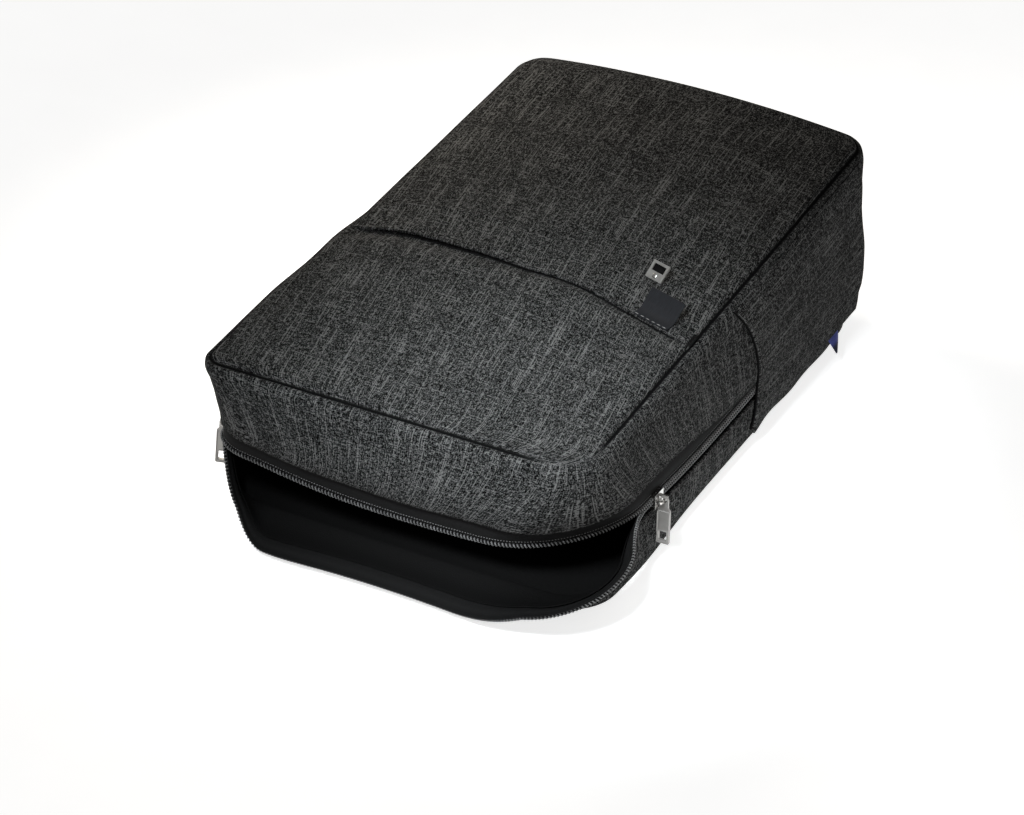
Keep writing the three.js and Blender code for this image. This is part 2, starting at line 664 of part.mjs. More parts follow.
// Back panel and lining
const insideCloth = CLOTH + LAYER_GAP;
const insideTape = insideCloth + TAPE + LAYER_GAP;
addPiece(shell, "back_panel", plate(backOutline(0), BACK_THICK, BACK_EDGE), flecked);
const floor = plate(backOutline(insideTape + LINING), LINING);
addPiece(shell, "floor_lining", floor, lining).position.z = BACK_THICK + GAP;
const tapeStart = LOWER_HEM - TAPE_UNDER;
const lipLiningLevels = [...levelsBetween(SEAM_SHARE + LINING_START, tapeStart), LOWER_HEM - TAPE_UNDER / 2];
addPiece(shell, "lip_lining", topWall(lipFace, lipLiningLevels, LINING, insideTape), lining);

// Zip: a tape behind each hem, and half of the coil chain on each tape's free edge
const upperChain = [ZIP_SHARE + CHAIN_SPLIT, ZIP_SHARE + CHAIN_SPLIT + CHAIN_WIDE];
const lowerChain = [ZIP_SHARE - CHAIN_SPLIT - CHAIN_WIDE, ZIP_SHARE - CHAIN_SPLIT];
const upperTape = [ZIP_SHARE + TAPE_EDGE, upperChain[1], UPPER_HEM, UPPER_HEM + TAPE_UNDER];
const lowerTape = [LOWER_HEM - TAPE_UNDER, LOWER_HEM, lowerChain[0], ZIP_SHARE - TAPE_EDGE];
addPiece(shell, "zip_tape_upper", topWall(topFace, upperTape, TAPE, insideCloth), webbing);
addPiece(shell, "zip_tape_lower", topWall(lipFace, lowerTape, TAPE, insideCloth), webbing);
addPiece(shell, "zip_chain_upper", topWall(topFace, upperChain, CHAIN_THICK, GAP), nylon);
addPiece(shell, "zip_chain_lower", topWall(lipFace, lowerChain, CHAIN_THICK, GAP), nylon);

// Sliders and pull tabs
for (const [side, y, turn, twist, lean] of [
  ["right", SLIDER_RIGHT, 0, 0, 0],
  ["left", SLIDER_LEFT, Math.PI, LEFT_PULL_TURN, LEFT_PULL_LEAN],
]) {
  const { half } = section(ZIP_SHARE);
  const x = turn === 0 ? half : -half;
  const mounted = new THREE.Group();
  mounted.position.set(x, y, ZIP_SHARE * depthAt(x, y) + cornerLift(x, y, ZIP_SHARE));
  mounted.rotation.z = turn;
  shell.add(mounted);
  addPiece(mounted, `slider_${side}`, sliderGeometry(), nickel);
  const pull = addPiece(mounted, `pull_${side}`, pullGeometry(), nickel);
  pull.position.x = BAIL_HEIGHT;
  pull.rotation.set(0, -degToRad(lean), degToRad(twist));
}

// Trim
const labelOut = -GAP - LABEL.thick;
addPiece(shell, "front_label", wall(labelFace, steps(4), steps(4), LABEL.thick, labelOut), satin);

const loopFace = (u, v) => v3(LOOP.x + u, LOOP.y + v, frontHeight(LOOP.x + u, LOOP.y + v));
const loopNormal = faceNormal(loopFace, 0, 0);
const loop = addPiece(shell, "front_loop", loopGeometry(), nickel);
loop.quaternion.setFromUnitVectors(v3(0, 0, 1), loopNormal);
loop.rotateZ(degToRad(LOOP.turn));
loop.position.copy(loopFace(0, 0)).addScaledVector(loopNormal, 1.5 * GAP);
loop.rotateX(degToRad(LOOP.tilt));
loop.translateY(LOOP.long / 2);

const tagOutline = roundedBox(TAG.long / 2, TAG.wide / 2, 1);
const tag = addPiece(shell, "side_tag", plate(tagOutline, TAG.thick, 0, 3), blue);
tag.position.set(TAG.x, TAG.y, TAG.z);
tag.rotation.y = degToRad(TAG.droop);

// Straps, webbing and handle under the back panel
for (const [side, sign] of [["left", -1], ["right", 1]]) {
  addPiece(backpack, `strap_${side}`, strapGeometry(sign), flecked);
  const lock = addPiece(backpack, `strap_adjuster_${side}`, adjusterGeometry(), nylon);
  const lockY = STRAP_BOTTOM.y + GAP + ADJUSTER.long / 2;
  lock.position.set(sign * STRAP_BOTTOM.x, lockY, STRAP_THICK - ADJUSTER.thick);
  const web = addPiece(backpack, `strap_web_${side}`, webGeometry(sign), webbing);
  web.position.z = STRAP_THICK - WEB_THICK;
}
const handle = addPiece(backpack, "grab_handle", handleGeometry(), webbing);
handle.position.set(0, HANDLE.y + HANDLE.wide / 2, STRAP_THICK);

// The origin is at the middle of the bag's footprint, on the surface that it lies on.
const box = new THREE.Box3().setFromObject(backpack, true);
const middle = box.getCenter(v3(0, 0, 0));
backpack.position.set(-middle.x, -middle.y, -box.min.z);

export default backpack;
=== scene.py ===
import json
import math

import bmesh
import bpy
import numpy as np
from mathutils import Matrix, Vector


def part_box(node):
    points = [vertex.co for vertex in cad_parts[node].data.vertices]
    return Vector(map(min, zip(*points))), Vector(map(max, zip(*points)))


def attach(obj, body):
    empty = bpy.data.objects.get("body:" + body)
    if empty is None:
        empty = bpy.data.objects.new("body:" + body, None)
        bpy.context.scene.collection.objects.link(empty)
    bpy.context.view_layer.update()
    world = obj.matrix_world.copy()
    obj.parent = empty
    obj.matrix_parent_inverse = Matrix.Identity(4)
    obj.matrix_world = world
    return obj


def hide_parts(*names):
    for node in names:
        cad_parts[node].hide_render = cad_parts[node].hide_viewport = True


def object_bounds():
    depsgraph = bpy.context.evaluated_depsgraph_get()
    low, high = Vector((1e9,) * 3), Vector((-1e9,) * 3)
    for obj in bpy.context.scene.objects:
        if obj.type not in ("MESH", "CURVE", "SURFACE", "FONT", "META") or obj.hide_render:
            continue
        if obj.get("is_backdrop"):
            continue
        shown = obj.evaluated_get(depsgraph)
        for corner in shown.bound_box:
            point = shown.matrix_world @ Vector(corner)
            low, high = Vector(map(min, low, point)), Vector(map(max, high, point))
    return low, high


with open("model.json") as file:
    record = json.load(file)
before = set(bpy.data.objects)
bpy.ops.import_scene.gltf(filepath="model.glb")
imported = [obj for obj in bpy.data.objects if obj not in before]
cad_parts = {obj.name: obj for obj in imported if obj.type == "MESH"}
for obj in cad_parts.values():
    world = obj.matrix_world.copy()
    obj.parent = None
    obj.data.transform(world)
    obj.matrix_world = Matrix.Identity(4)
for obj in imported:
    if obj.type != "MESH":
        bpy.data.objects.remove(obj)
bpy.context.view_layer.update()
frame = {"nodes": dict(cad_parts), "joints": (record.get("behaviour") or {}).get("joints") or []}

# Camera, lamps and table: a long lens near the bag's top right corner, looking down at a white light table,
# with a soft cool lamp over the top end, weak ones low on the left and on the right, and a dim even room.
scene = bpy.context.scene
scene.view_settings.view_transform = "Standard"
# The shell is worked out in millimetres in a frame of its own: X across, Y from the top seam, and Z from the
# back panel's underside. BACK_CORNER is the back panel's lowest corner there.
BACK_CORNER = (-142.5, 8.0, 0.0)
SHELL = np.array(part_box("back_panel")[0]) * 1000 - BACK_CORNER
CAMERA_PLACE = SHELL / 1000 + (1.0420, -1.8374, 1.4986)
azimuth, elevation, roll = np.radians([27.44, 32.99, 0.8])
back = np.array([
    math.sin(azimuth) * math.cos(elevation),
    -math.cos(azimuth) * math.cos(elevation),
    math.sin(elevation),
])
level = np.cross([0, 0, 1], back)
level /= np.linalg.norm(level)
rise = np.cross(back, level)
right = math.cos(roll) * level + math.sin(roll) * rise
up = math.cos(roll) * rise - math.sin(roll) * level
lens = bpy.data.cameras.new("camera")
lens.lens, lens.sensor_width = 136.97, 36
camera = bpy.data.objects.new("camera", lens)
turned = Matrix(np.column_stack([right, up, back]).tolist()).to_4x4()
camera.matrix_world = Matrix.Translation(CAMERA_PLACE.tolist()) @ turned
scene.collection.objects.link(camera)
scene.camera = camera


def soft_lamp(name, place, aim, energy, colour, size, cone):
    """A round soft lamp whose light fades from the middle of its cone to the cone's edge."""
    lamp = bpy.data.lights.new(name, "SPOT")
    lamp.energy, lamp.color, lamp.shadow_soft_size = energy, colour, size
    lamp.spot_size, lamp.spot_blend = math.radians(cone), 1.0
    hung = bpy.data.objects.new(name, lamp)
    hung.location = place
    hung.rotation_euler = (Vector(aim) - Vector(place)).to_track_quat("-Z", "Y").to_euler()
    scene.collection.objects.link(hung)


soft_lamp("end_lamp", (0.08, -0.64, 0.72), (0.058, -0.160, 0.105), 134, (0.95, 1.0, 1.03), 0.16, 23)
soft_lamp("side_lamp", (-0.42, 0.22, 0.42), (-0.08, 0.12, 0.14), 11.5, (1.0, 0.93, 0.82), 0.15, 110)
soft_lamp("low_lamp", (0.85, -0.55, 0.30), (0.15, -0.06, 0.09), 11, (1.0, 1.0, 0.96), 0.12, 30)
scene.world = bpy.data.worlds.new("room")
scene.world.use_nodes = True
room = scene.world.node_tree.nodes["Background"]
room.inputs["Color"].default_value = (1.0, 0.99, 0.97, 1)
room.inputs["Strength"].default_value = 0.27


class Tint:
    """A value in a finish: a socket of its node tree. Sums, differences and products of it add Math nodes."""

    def __init__(self, tree, socket=None):
        self.tree, self.socket = tree, socket

    def node(self, kind, settings=None, sockets=None, out=0):
        """Any other node: its settings are set first, then its sockets get values or links."""
        made = self.tree.nodes.new(kind)
        for name, value in (settings or {}).items():
            if name == "stops":
                ramp = made.color_ramp.elements
                while len(ramp) < len(value):
                    ramp.new(0.5)
                for stop, (position, colour) in zip(ramp, value):
                    stop.position, stop.color = position, (*colour, 1)
            else:
                setattr(made, name, value)
        for name, value in (sockets or {}).items():
            if isinstance(value, Tint):
                self.tree.links.new(value.socket, made.inputs[name])
            else:
                made.inputs[name].default_value = value
        return Tint(self.tree, made.outputs[out])

    def sum_of(self, operation, first, second):
        return self.node("ShaderNodeMath", {"operation": operation}, {0: first, 1: second})

    def __add__(self, other):
        return self.sum_of("ADD", self, other)

    def __radd__(self, other):
        return self.sum_of("ADD", other, self)

    def __sub__(self, other):
        return self.sum_of("SUBTRACT", self, other)

    def __rsub__(self, other):
        return self.sum_of("SUBTRACT", other, self)

    def __mul__(self, other):
        return self.sum_of("MULTIPLY", self, other)

    def __rmul__(self, other):
        return self.sum_of("MULTIPLY", other, self)

    def eased(self, low, high):
        """0 below low, 1 above high, smooth between."""
        return self.node(
            "ShaderNodeMapRange", {"interpolation_type": "SMOOTHSTEP"},
            {"Value": self, "From Min": low, "From Max": high},
        )

    def noise(self, across, along, detail=2.0):
        """Unevenness on this vector's first two numbers, whose grains are across by along metres."""
        scaled = self.node(
            "ShaderNodeVectorMath", {"operation": "MULTIPLY"},
            {0: self, 1: (1 / across, 1 / along, 0)},
        )
        return self.node(
            "ShaderNodeTexNoise", {"noise_dimensions": "2D"},
            {"Vector": scaled, "Scale": 1.0, "Detail": detail, "Roughness": 0.55},
        )

    def snapped(self, across, along):
        """This vector with its first two numbers brought down to whole steps of across and along metres."""
        return self.node("ShaderNodeVectorMath", {"operation": "SNAP"}, {0: self, 1: (across, along, 1)})

    def mix(self, first, second):
        """Two colours, mixed by this share."""
        return self.node(
            "ShaderNodeMix", {"data_type": "RGBA"}, {0: self, 6: first, 7: second}, out=2
        )

    def shades(self, dark, light):
        """A colour that goes from dark to light over the middle of this value's range."""
        return self.node("ShaderNodeValToRGB", {"stops": [(0.3, dark), (0.7, light)]}, {0: self})

    def bump(self, strength, distance):
        """A normal for a surface that stands out by this height times a distance in metres."""
        return self.node(
            "ShaderNodeBump", None, {"Strength": strength, "Distance": distance, "Height": self}
        )

    def place(self):
        """The piece's own coordinates, in metres."""
        return self.node("ShaderNodeTexCoord", out=3)

    def weave(self):
        """The cloth coordinates of a piece that has them, in metres."""
        return self.node("ShaderNodeUVMap", {"uv_map": "weave"})

    def into(self, shader, socket):
        self.tree.links.new(self.socket, shader.inputs[socket])


def grey(shade):
    return (shade, shade, shade)


def new_finish(name, **constants):
    """A new material with its shader's constant sockets set, and a Tint to build on it with."""
    material = bpy.data.materials.new(name)
    material.use_nodes = True
    shader = material.node_tree.nodes["Principled BSDF"]
    for socket, value in constants.items():
        shader.inputs[socket.replace("_", " ")].default_value = value
    return material, shader, Tint(material.node_tree)


table_top, shader, tint = new_finish("table_top", Roughness=0.9, Emission_Strength=1.0)
shader.inputs["Emission Color"].default_value = (0.72, 0.72, 0.72, 1)
tint.place().noise(0.05, 0.05).shades(grey(0.83), grey(0.86)).into(shader, "Base Color")
TABLE_HALF = 6.0
table_mesh = bpy.data.meshes.new("table")
table_mesh.from_pydata(
    [(-TABLE_HALF, -TABLE_HALF, 0), (TABLE_HALF, -TABLE_HALF, 0),
     (TABLE_HALF, TABLE_HALF, 0), (-TABLE_HALF, TABLE_HALF, 0)], [], [(0, 1, 2, 3)],
)
table_mesh.materials.append(table_top)
table = bpy.data.objects.new("table", table_mesh)
scene.collection.objects.link(table)
table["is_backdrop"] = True

# Shoulder straps and back panel: foam pads in the bag's own cloth, lying flat under it.
# Each pad is a closed bag of cloth that its foam fills, so it is blown up from a thinner copy of its solid.


YARN = 0.0006
FINE = 1e-6


def flecked_finish(name, use_weave):
    """Charcoal plain weave: dark warp and grey weft yarns, on a checker of which of them lies on top. Each
    crossing has a tone of its own, short dashes run along both yarns, and each yarn's tone wanders along its
    length, so that pale slubs come and go."""
    material, shader, tint = new_finish(name, Roughness=0.95, Specular_IOR_Level=0.03)
    cloth = tint.weave() if use_weave else tint.place()
    flat = cloth.node("ShaderNodeVectorMath", {"operation": "MULTIPLY"}, {0: cloth, 1: (1, 1, 0)})
    over = flat.node("ShaderNodeTexChecker", None, {"Vector": flat, "Scale": 1 / YARN}, out=1)
    warp = cloth.snapped(YARN, FINE).noise(YARN / 7.31, 0.050, 1.0)
    weft = cloth.snapped(FINE, YARN).noise(0.025, YARN / 5.77, 1.0)
    warp_dash = cloth.noise(0.0008, 0.0036, 1.0)
    weft_dash = cloth.noise(0.0032, 0.0008, 1.0)
    knot = flat.node(
        "ShaderNodeTexWhiteNoise", {"noise_dimensions": "2D"}, {"Vector": flat.snapped(YARN, YARN)}
    )
    band = cloth.noise(0.009, 0.08, 1.0)
    slub = warp.eased(0.63, 0.70) * weft_dash.eased(0.30, 0.50)
    cross = weft.eased(0.65, 0.73) * warp_dash.eased(0.30, 0.50)
    yarn = over * warp + (1 - over) * weft
    tone = 0.43 + (warp_dash - 0.5) * 1.2 + (weft_dash - 0.5) * 1.0 + (knot - 0.5) * 0.7
    tone = tone + (yarn - 0.5) * 0.5 + (band - 0.5) * 0.16 + slub * 0.62 + cross * 0.36
    shade = tone.node(
        "ShaderNodeValToRGB",
        {"stops": [
            (0.10, (0.0007, 0.0007, 0.0007)), (0.30, (0.0068, 0.0069, 0.0069)),
            (0.50, (0.0208, 0.0210, 0.0209)), (0.70, (0.0452, 0.0454, 0.0452)),
            (0.92, (0.092, 0.092, 0.091)),
        ]},
        {0: tone},
    )
    # Where the seam attribute is 1 the cloth is black: partly a dark seam binding, partly painted shade in
    # grooves and under hems.
    seam = tint.node("ShaderNodeAttribute", {"attribute_name": "binding"}, out=2)
    seam.mix(shade, (0.0028, 0.0028, 0.0029, 1)).into(shader, "Base Color")
    height = over * 0.3 + warp_dash * 0.6 + weft_dash * 0.6 + slub * 0.3
    height.bump(0.3, 0.0004).into(shader, "Normal")
    return material


def black_finish(name, across, along, shade, spread, roughness):
    """Dyed polyester: fine ribs of the given pitches, a share of spread darker and lighter than the shade."""
    material, shader, tint = new_finish(name, Specular_IOR_Level=0.07)
    rib = tint.weave().noise(across, along, 1.0)
    light = shade * (1 + spread)
    rib.shades(grey(shade * (1 - spread)), (light, light, light * 1.03)).into(shader, "Base Color")
    (roughness - 0.1 + rib * 0.2).into(shader, "Roughness")
    rib.bump(0.4, 0.0004).into(shader, "Normal")
    return material


FLECKED = flecked_finish("flecked_cloth", True)
FLECKED_PAD = flecked_finish("flecked_pad_cloth", False)
LINING = black_finish("black_lining", 0.0009, 0.0009, 0.0022, 0.4, 0.8)

PAD_VOXEL, PAD_FRAMES, PAD_PRESSURE = 0.004, 20, 4


def vertex_places(mesh):
    """A mesh's points, as rows of an array."""
    places = np.empty(len(mesh.vertices) * 3, np.float32)
    mesh.vertices.foreach_get("co", places)
    return places.reshape(-1, 3)


def blown_pad(name, node, slack, inset, cap, floor, ceiling):
    """A pad: its solid, thinned by slack about its middle level and drawn in by inset about its centre,
    remeshed, blown up by cloth pressure with each point's travel capped, held between floor and ceiling, and
    subdivided."""
    mesh = frame["nodes"][node].data.copy()
    pad = bpy.data.objects.new(name, mesh)
    scene.collection.objects.link(pad)
    mesh.materials.clear()
    mesh.materials.append(FLECKED_PAD)
    shape = bmesh.new()
    shape.from_mesh(mesh)
    bmesh.ops.remove_doubles(shape, verts=shape.verts, dist=1e-5)
    shape.to_mesh(mesh)
    shape.free()
    place = vertex_places(mesh)
    middle = (place[:, 2].min() + place[:, 2].max()) / 2
    place[:, 2] = middle + (place[:, 2] - middle) * (1 - slack)
    centre = (place[:, :2].min(0) + place[:, :2].max(0)) / 2
    place[:, :2] = centre + (place[:, :2] - centre) * (1 - inset)
    mesh.vertices.foreach_set("co", place.ravel())
    remesh = pad.modifiers.new("remesh", "REMESH")
    remesh.mode, remesh.voxel_size = "VOXEL", PAD_VOXEL
    bpy.context.view_layer.update()
    fine = bpy.data.meshes.new_from_object(pad.evaluated_get(bpy.context.evaluated_depsgraph_get()))
    pad.modifiers.clear()
    pad.data = fine
    start = end = vertex_places(fine)
    cloth = pad.modifiers.new("swell", "CLOTH")
    cloth.settings.use_pressure = True
    cloth.settings.uniform_pressure_force = PAD_PRESSURE
    cloth.settings.effector_weights.gravity = 0
    cloth.point_cache.frame_start, cloth.point_cache.frame_end = 1, PAD_FRAMES
    for step in range(1, PAD_FRAMES + 1):
        scene.frame_set(step)
    end = vertex_places(pad.evaluated_get(bpy.context.evaluated_depsgraph_get()).to_mesh())
    pad.modifiers.clear()
    scene.frame_set(1)
    travel = end - start
    far = np.linalg.norm(travel, axis=1, keepdims=True)
    end = start + travel * np.minimum(1, cap / np.maximum(far, 1e-9))
    end[:, 2] = np.clip(end[:, 2], floor, ceiling)
    fine.vertices.foreach_set("co", end.ravel())
    fine.polygons.foreach_set("use_smooth", np.ones(len(fine.polygons), bool))
    fine.materials.clear()
    fine.materials.append(FLECKED_PAD)
    smooth = pad.modifiers.new("smooth", "SUBSURF")
    smooth.levels = smooth.render_levels = 1
    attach(pad, "bag")
    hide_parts(node)


STRAP_LOW, STRAP_HIGH = 0.0003, 0.0090
BACK_LOW, BACK_HIGH = 0.0094, 0.0166
for side in ("left", "right"):
    blown_pad(f"shoulder_strap_{side}", f"strap_{side}", 0.3, 0.0, 0.005, STRAP_LOW, STRAP_HIGH)
blown_pad("padded_back", "back_panel", 0.15, 0.02, 0.003, BACK_LOW, BACK_HIGH)

# Base gusset: the flecked cloth band round the bottom end and the lower sides, foam-backed, lined in black.
# It is cut in one piece, sewn to the back panel below and to the front panel above with a turned-in seam.

CLOTH_THICK = 2.4
JOIN = 262.0
BAG_LENGTH = 457.0
FRONT_HALF = 138.0
# Sections of the shell: share of the depth, half width, top and bottom ends, plan radii of the corners.
PROFILE = np.array([
    (0.063, 142.5, 8.0, 449, 32, 34, 38),
    (0.14, 144.0, 5.0, 459, 34, 40, 24),
    (0.24, 144.4, 4.0, 461, 38, 62, 18),
    (0.315, 144.6, 3.0, 461, 28, 80, 17),
    (0.4, 145.4, 0.5, 461, 32, 74, 18),
    (0.55, 146.0, -5.0, 461, 40, 62, 24),
    (0.7, 145.2, -6.0, 461, 34, 48, 25),
    (0.86, 143.2, -4.0, 460, 22, 34, 24),
    (0.955, 140.6, -1.0, 458, 15, 28, 22),
    (0.985, 138.0, 2.0, 455, 13, 25, 19),
    (0.992, 136.6, 3.4, 453.6, 11.6, 23.6, 17.6),
])
SKIRT_SHARE, SEAM_SHARE, FRONT_SHARE, EDGE_SHARE = 0.02, 0.063, 0.985, 0.992


def smoothstep(value, low, high):
    """0 below low, 1 above high, and 3t2 - 2t3 between them."""
    t = np.clip((value - low) / (high - low), 0, 1)
    return t * t * (3 - 2 * t)


def lerp(low, high, t):
    return low + (high - low) * t


def through(knots, values, at):
    """Smooth curve through points: a cubic between each two, with the chord slopes of their neighbours."""
    knots, values = np.asarray(knots, float), np.asarray(values, float)
    slope = np.gradient(values, knots)
    at = np.clip(at, knots[0], knots[-1])
    i = np.clip(np.searchsorted(knots, at) - 1, 0, len(knots) - 2)
    span = knots[i + 1] - knots[i]
    t = (at - knots[i]) / span
    ends = (1 - t) ** 2 * ((1 + 2 * t) * values[i] + t * span * slope[i])
    return ends + t**2 * ((3 - 2 * t) * values[i + 1] - (1 - t) * span * slope[i + 1])


def section(share):
    """Half width, top, bottom, and left, right and base radii of the shell at a share of its depth."""
    return [through(PROFILE[:, 0], column, share) for column in PROFILE[:, 1:].T]


def depth_at(x, y):
    """Depth of the bag: a straight taper from the top end to the bottom end, bowed up at the bottom seam."""
    bow = 9 * (1 - (x / FRONT_HALF) ** 2) * smoothstep(y, 250, BAG_LENGTH)
    return lerp(119, 141, y / BAG_LENGTH) + bow


def ripple(x, y, seed, size, count=7):
    """Soft unevenness of stuffed cloth: plane waves of random bearing, each about size long."""
    random = np.random.default_rng(seed)
    total = 0.0
    for bearing, phase, stretch in random.uniform(0, 1, (count, 3)):
        wave = 2 * math.pi / (size * (0.7 + 0.8 * stretch))
        run = x * math.cos(2 * math.pi * bearing) + y * math.sin(2 * math.pi * bearing)
        total = total + np.sin(wave * run + 2 * math.pi * phase)
    return total / math.sqrt(count)


def stretches(counts):
    """Stretch number and share along it for each column of a band that runs over five stretches."""
    stretch = np.append(np.repeat(np.arange(5), counts), 4)
    along = np.append(np.concatenate([np.arange(n) / n for n in counts]), 1.0)
    return stretch, along


def by_stretch(stretch, values):
    return np.select([stretch == k for k in range(5)], values)


def base_half(share, y):
    """Half width of the lower sides, whose bulge is half gone at the upper bottom corners."""
    half, _, bottom, _, _, base = section(share)
    flat = lerp(0.1, 0.5, smoothstep(share, 0.3, 0.7)) * np.clip((y - JOIN) / (bottom - base - JOIN), 0, 1)
    return lerp(half, FRONT_HALF, flat * (half > FRONT_HALF))


def base_band(share, where):
    """Shell round the bottom end: right side, quarter circle, straight end, quarter circle, left side."""
    stretch, along = where
    _, _, bottom, _, _, base = section(share)
    bend = bottom - base
    wide, half = base_half(share, JOIN), base_half(share, bend)
    turn = along * math.pi / 2
    x = by_stretch(stretch, [
        lerp(wide, half, along), half - base + base * np.cos(turn), lerp(half - base, base - half, along),
        base - half - base * np.sin(turn), lerp(-half, -wide, along),
    ])
    y = by_stretch(stretch, [
        lerp(JOIN, bend, along), bend + base * np.sin(turn), bottom + 0 * along,
        bend + base * np.cos(turn), lerp(bend, JOIN, along),
    ])
    return np.stack([x, y, share * depth_at(x, y)], -1)


def unit(vectors):
    return vectors / np.maximum(np.linalg.norm(vectors, axis=-1, keepdims=True), 1e-9)


def grid_normals(face):
    """Unit normals of a grid: its slope along the columns crossed with its slope along the rows."""
    return unit(np.cross(np.gradient(face, axis=1), np.gradient(face, axis=0)))


def arc_length(points):
    """Distance along a line of points, from its first."""
    return np.append(0.0, np.cumsum(np.linalg.norm(np.diff(points, axis=0), axis=1)))


def weave_of(face):
    """Cloth coordinates of a grid in metres: the arc length of its middle row and of its middle column."""
    across = arc_length(face[len(face) // 2]) / 1000
    along = arc_length(face[:, face.shape[1] // 2]) / 1000
    return np.stack(np.meshgrid(across, along), -1)


def add_piece(
    name, points, faces, finishes, nodes=(), body="bag", weave=None, binding=None, which=None
):
    """A finished piece in the row frame: its mesh, cloth coordinates and finishes, on its body."""
    mesh = bpy.data.meshes.new(name)
    mesh.from_pydata(((points + SHELL) / 1000).tolist(), [], [list(corners) for corners in faces])
    for material in finishes:
        mesh.materials.append(material)
    if which is not None:
        mesh.polygons.foreach_set("material_index", np.asarray(which, np.int32))
    mesh.polygons.foreach_set("use_smooth", np.ones(len(mesh.polygons), bool))
    corners = np.empty(len(mesh.loops), np.int32)
    mesh.loops.foreach_get("vertex_index", corners)
    if weave is not None:
        layer = mesh.uv_layers.new(name="weave")
        layer.data.foreach_set("uv", weave[corners].astype(np.float32).ravel())
    if binding is not None:
        mark = mesh.attributes.new("binding", "FLOAT", "POINT")
        mark.data.foreach_set("value", binding.astype(np.float32))
    mesh.update()
    mesh.set_sharp_from_angle(angle=math.radians(55))
    made = bpy.data.objects.new(name, mesh)
    scene.collection.objects.link(made)
    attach(made, body)
    if nodes:
        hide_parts(*nodes)
    return made


RIM = 4


def wall(name, face, thickness, finishes, nodes=(), binding=None, weave=None):
    """A closed cloth wall: the face, its copy sunk by the thickness along the normals, half-round hems
    along its first and last rows, over which the cloth coordinates run on, and flat caps at its first and
    last columns."""
    rows, columns = face.shape[:2]
    under = face - thickness * grid_normals(face)

    def hem(edge, beside):
        turn = np.linspace(0, math.pi, RIM + 2)[1:-1, None, None]
        reach = unit(face[edge] - face[beside]) * thickness / 2
        out = (face[edge] - under[edge]) / 2
        return (face[edge] + under[edge]) / 2 + np.cos(turn) * out + np.sin(turn) * reach

    loop = np.concatenate([face, hem(-1, -2), under[::-1], hem(0, 1)[::-1]])
    count = len(loop)
    i, j = np.meshgrid(np.arange(count), np.arange(columns - 1), indexing="ij")
    k = (i + 1) % count
    sides = np.stack([i * columns + j, i * columns + j + 1, k * columns + j + 1, k * columns + j], -1)
    which = (i >= rows + RIM) & (i < 2 * rows + RIM - 1)
    half = RIM // 2
    start = 2 * rows + RIM
    outer = np.concatenate([start + half + np.arange(half), np.arange(rows), rows + np.arange(half)])
    inner = np.concatenate([
        start + half - 1 - np.arange(half), 2 * rows + RIM - 1 - np.arange(rows),
        rows + RIM - 1 - np.arange(half),
    ])
    cap = np.stack([outer[:-1], outer[1:], inner[1:], inner[:-1]], -1) * columns
    faces = np.concatenate([sides.reshape(-1, 4), cap, (cap + columns - 1)[:, ::-1]])
    which = np.concatenate([which.ravel(), np.zeros(2 * len(cap), bool)])

    def spread(values, step):
        beyond = np.arange(1, RIM + 1).reshape(-1, *[1] * (values.ndim - 1)) * step
        head, tail = (values[:1] - beyond)[::-1], values[-1:] + beyond
        return np.concatenate([values, tail, values[::-1], head]).reshape(-1, *values.shape[2:])

    hem_step = math.pi * thickness / 2000 / (RIM + 1)
    weave = spread(weave_of(face) if weave is None else weave, np.array([0.0, hem_step]))
    binding = None if binding is None else spread(binding, 0.0)
    if len(finishes) == 1:
        which = None
    return add_piece(
        name, loop.reshape(-1, 3), faces, finishes, nodes, weave=weave, binding=binding, which=which
    )


def flecked_wall(name, face, node, binding=None, weave=None, thickness=CLOTH_THICK):
    """A closed wall of the flecked cloth with its black backing, in a node's place."""
    wall(name, face, thickness, [FLECKED, LINING], [node], binding, weave)


# Seam sink, and the width of the black at its bottom, which is partly binding and partly painted shade.
SEAM_SINK, SEAM_HALF, BINDING_AND_SHADE_FULL, BINDING_AND_SHADE_END = 2.6, 1.9, 0.75, 1.55


def sunk_seam(face, distance, strength):
    """A face drawn in along a sewn edge: sunk by a bell curve of the distance, and black at its bottom, partly
    as a dark binding and partly as painted shade of the groove.
    """
    sink = SEAM_SINK * np.exp(-((distance / SEAM_HALF) ** 2)) * strength
    shade = (1 - smoothstep(distance, BINDING_AND_SHADE_FULL, BINDING_AND_SHADE_END)) * strength
    return face - sink[..., None] * grid_normals(face), shade


def row_distance(face):
    """Distance of each point from the last row, along its column."""
    steps = np.linalg.norm(np.diff(face, axis=0), axis=-1)
    return np.concatenate([np.cumsum(steps[::-1], 0)[::-1], np.zeros((1, face.shape[1]))])


def levels(low, high, count, gather=2.2):
    """Levels from low to high, gathered towards high where the cloth rolls into its seam."""
    return lerp(low, high, 1 - (1 - np.linspace(0, 1, count)[:, None]) ** gather)


SEAM_CALM = 25.0


def puffed(face, step, seed, size, height):
    """A band with soft unevenness of a height along its normals, which dies away towards its last row. Its
    columns count as step apart, and the unevenness is about size long."""
    run = np.arange(face.shape[1]) * step + 0 * face[..., 0]
    swell = ripple(run, face[..., 2], seed, size) * smoothstep(row_distance(face), 0, SEAM_CALM) * height
    return face + grid_normals(face) * swell[..., None]


face = base_band(levels(SKIRT_SHARE, EDGE_SHARE, 64), stretches([130, 40, 150, 40, 130]))
face = puffed(face, 1.6, 3, 70, 0.8)
face, binding = sunk_seam(face, row_distance(face), 1.0)
flecked_wall("base_gusset_cloth", face, "base_gusset", binding)

# Top gusset: the flecked cloth band round the top end, above the zip. Its hem is turned under along the zip
# tape, and its upper edge goes into the front seam, drawn tight everywhere but at the soft right corner.

UPPER_HEM, SIDE_HEM, LOWER_HEM, ZIP_SHARE = 0.47, 0.36, 0.24, 0.315
# Where the zip is drawn up: place, rise and reach.
LIFTS = ((-144.6, 3.0, 13.0, 70.0), (135.0, 50.0, 8.5, 75.0))


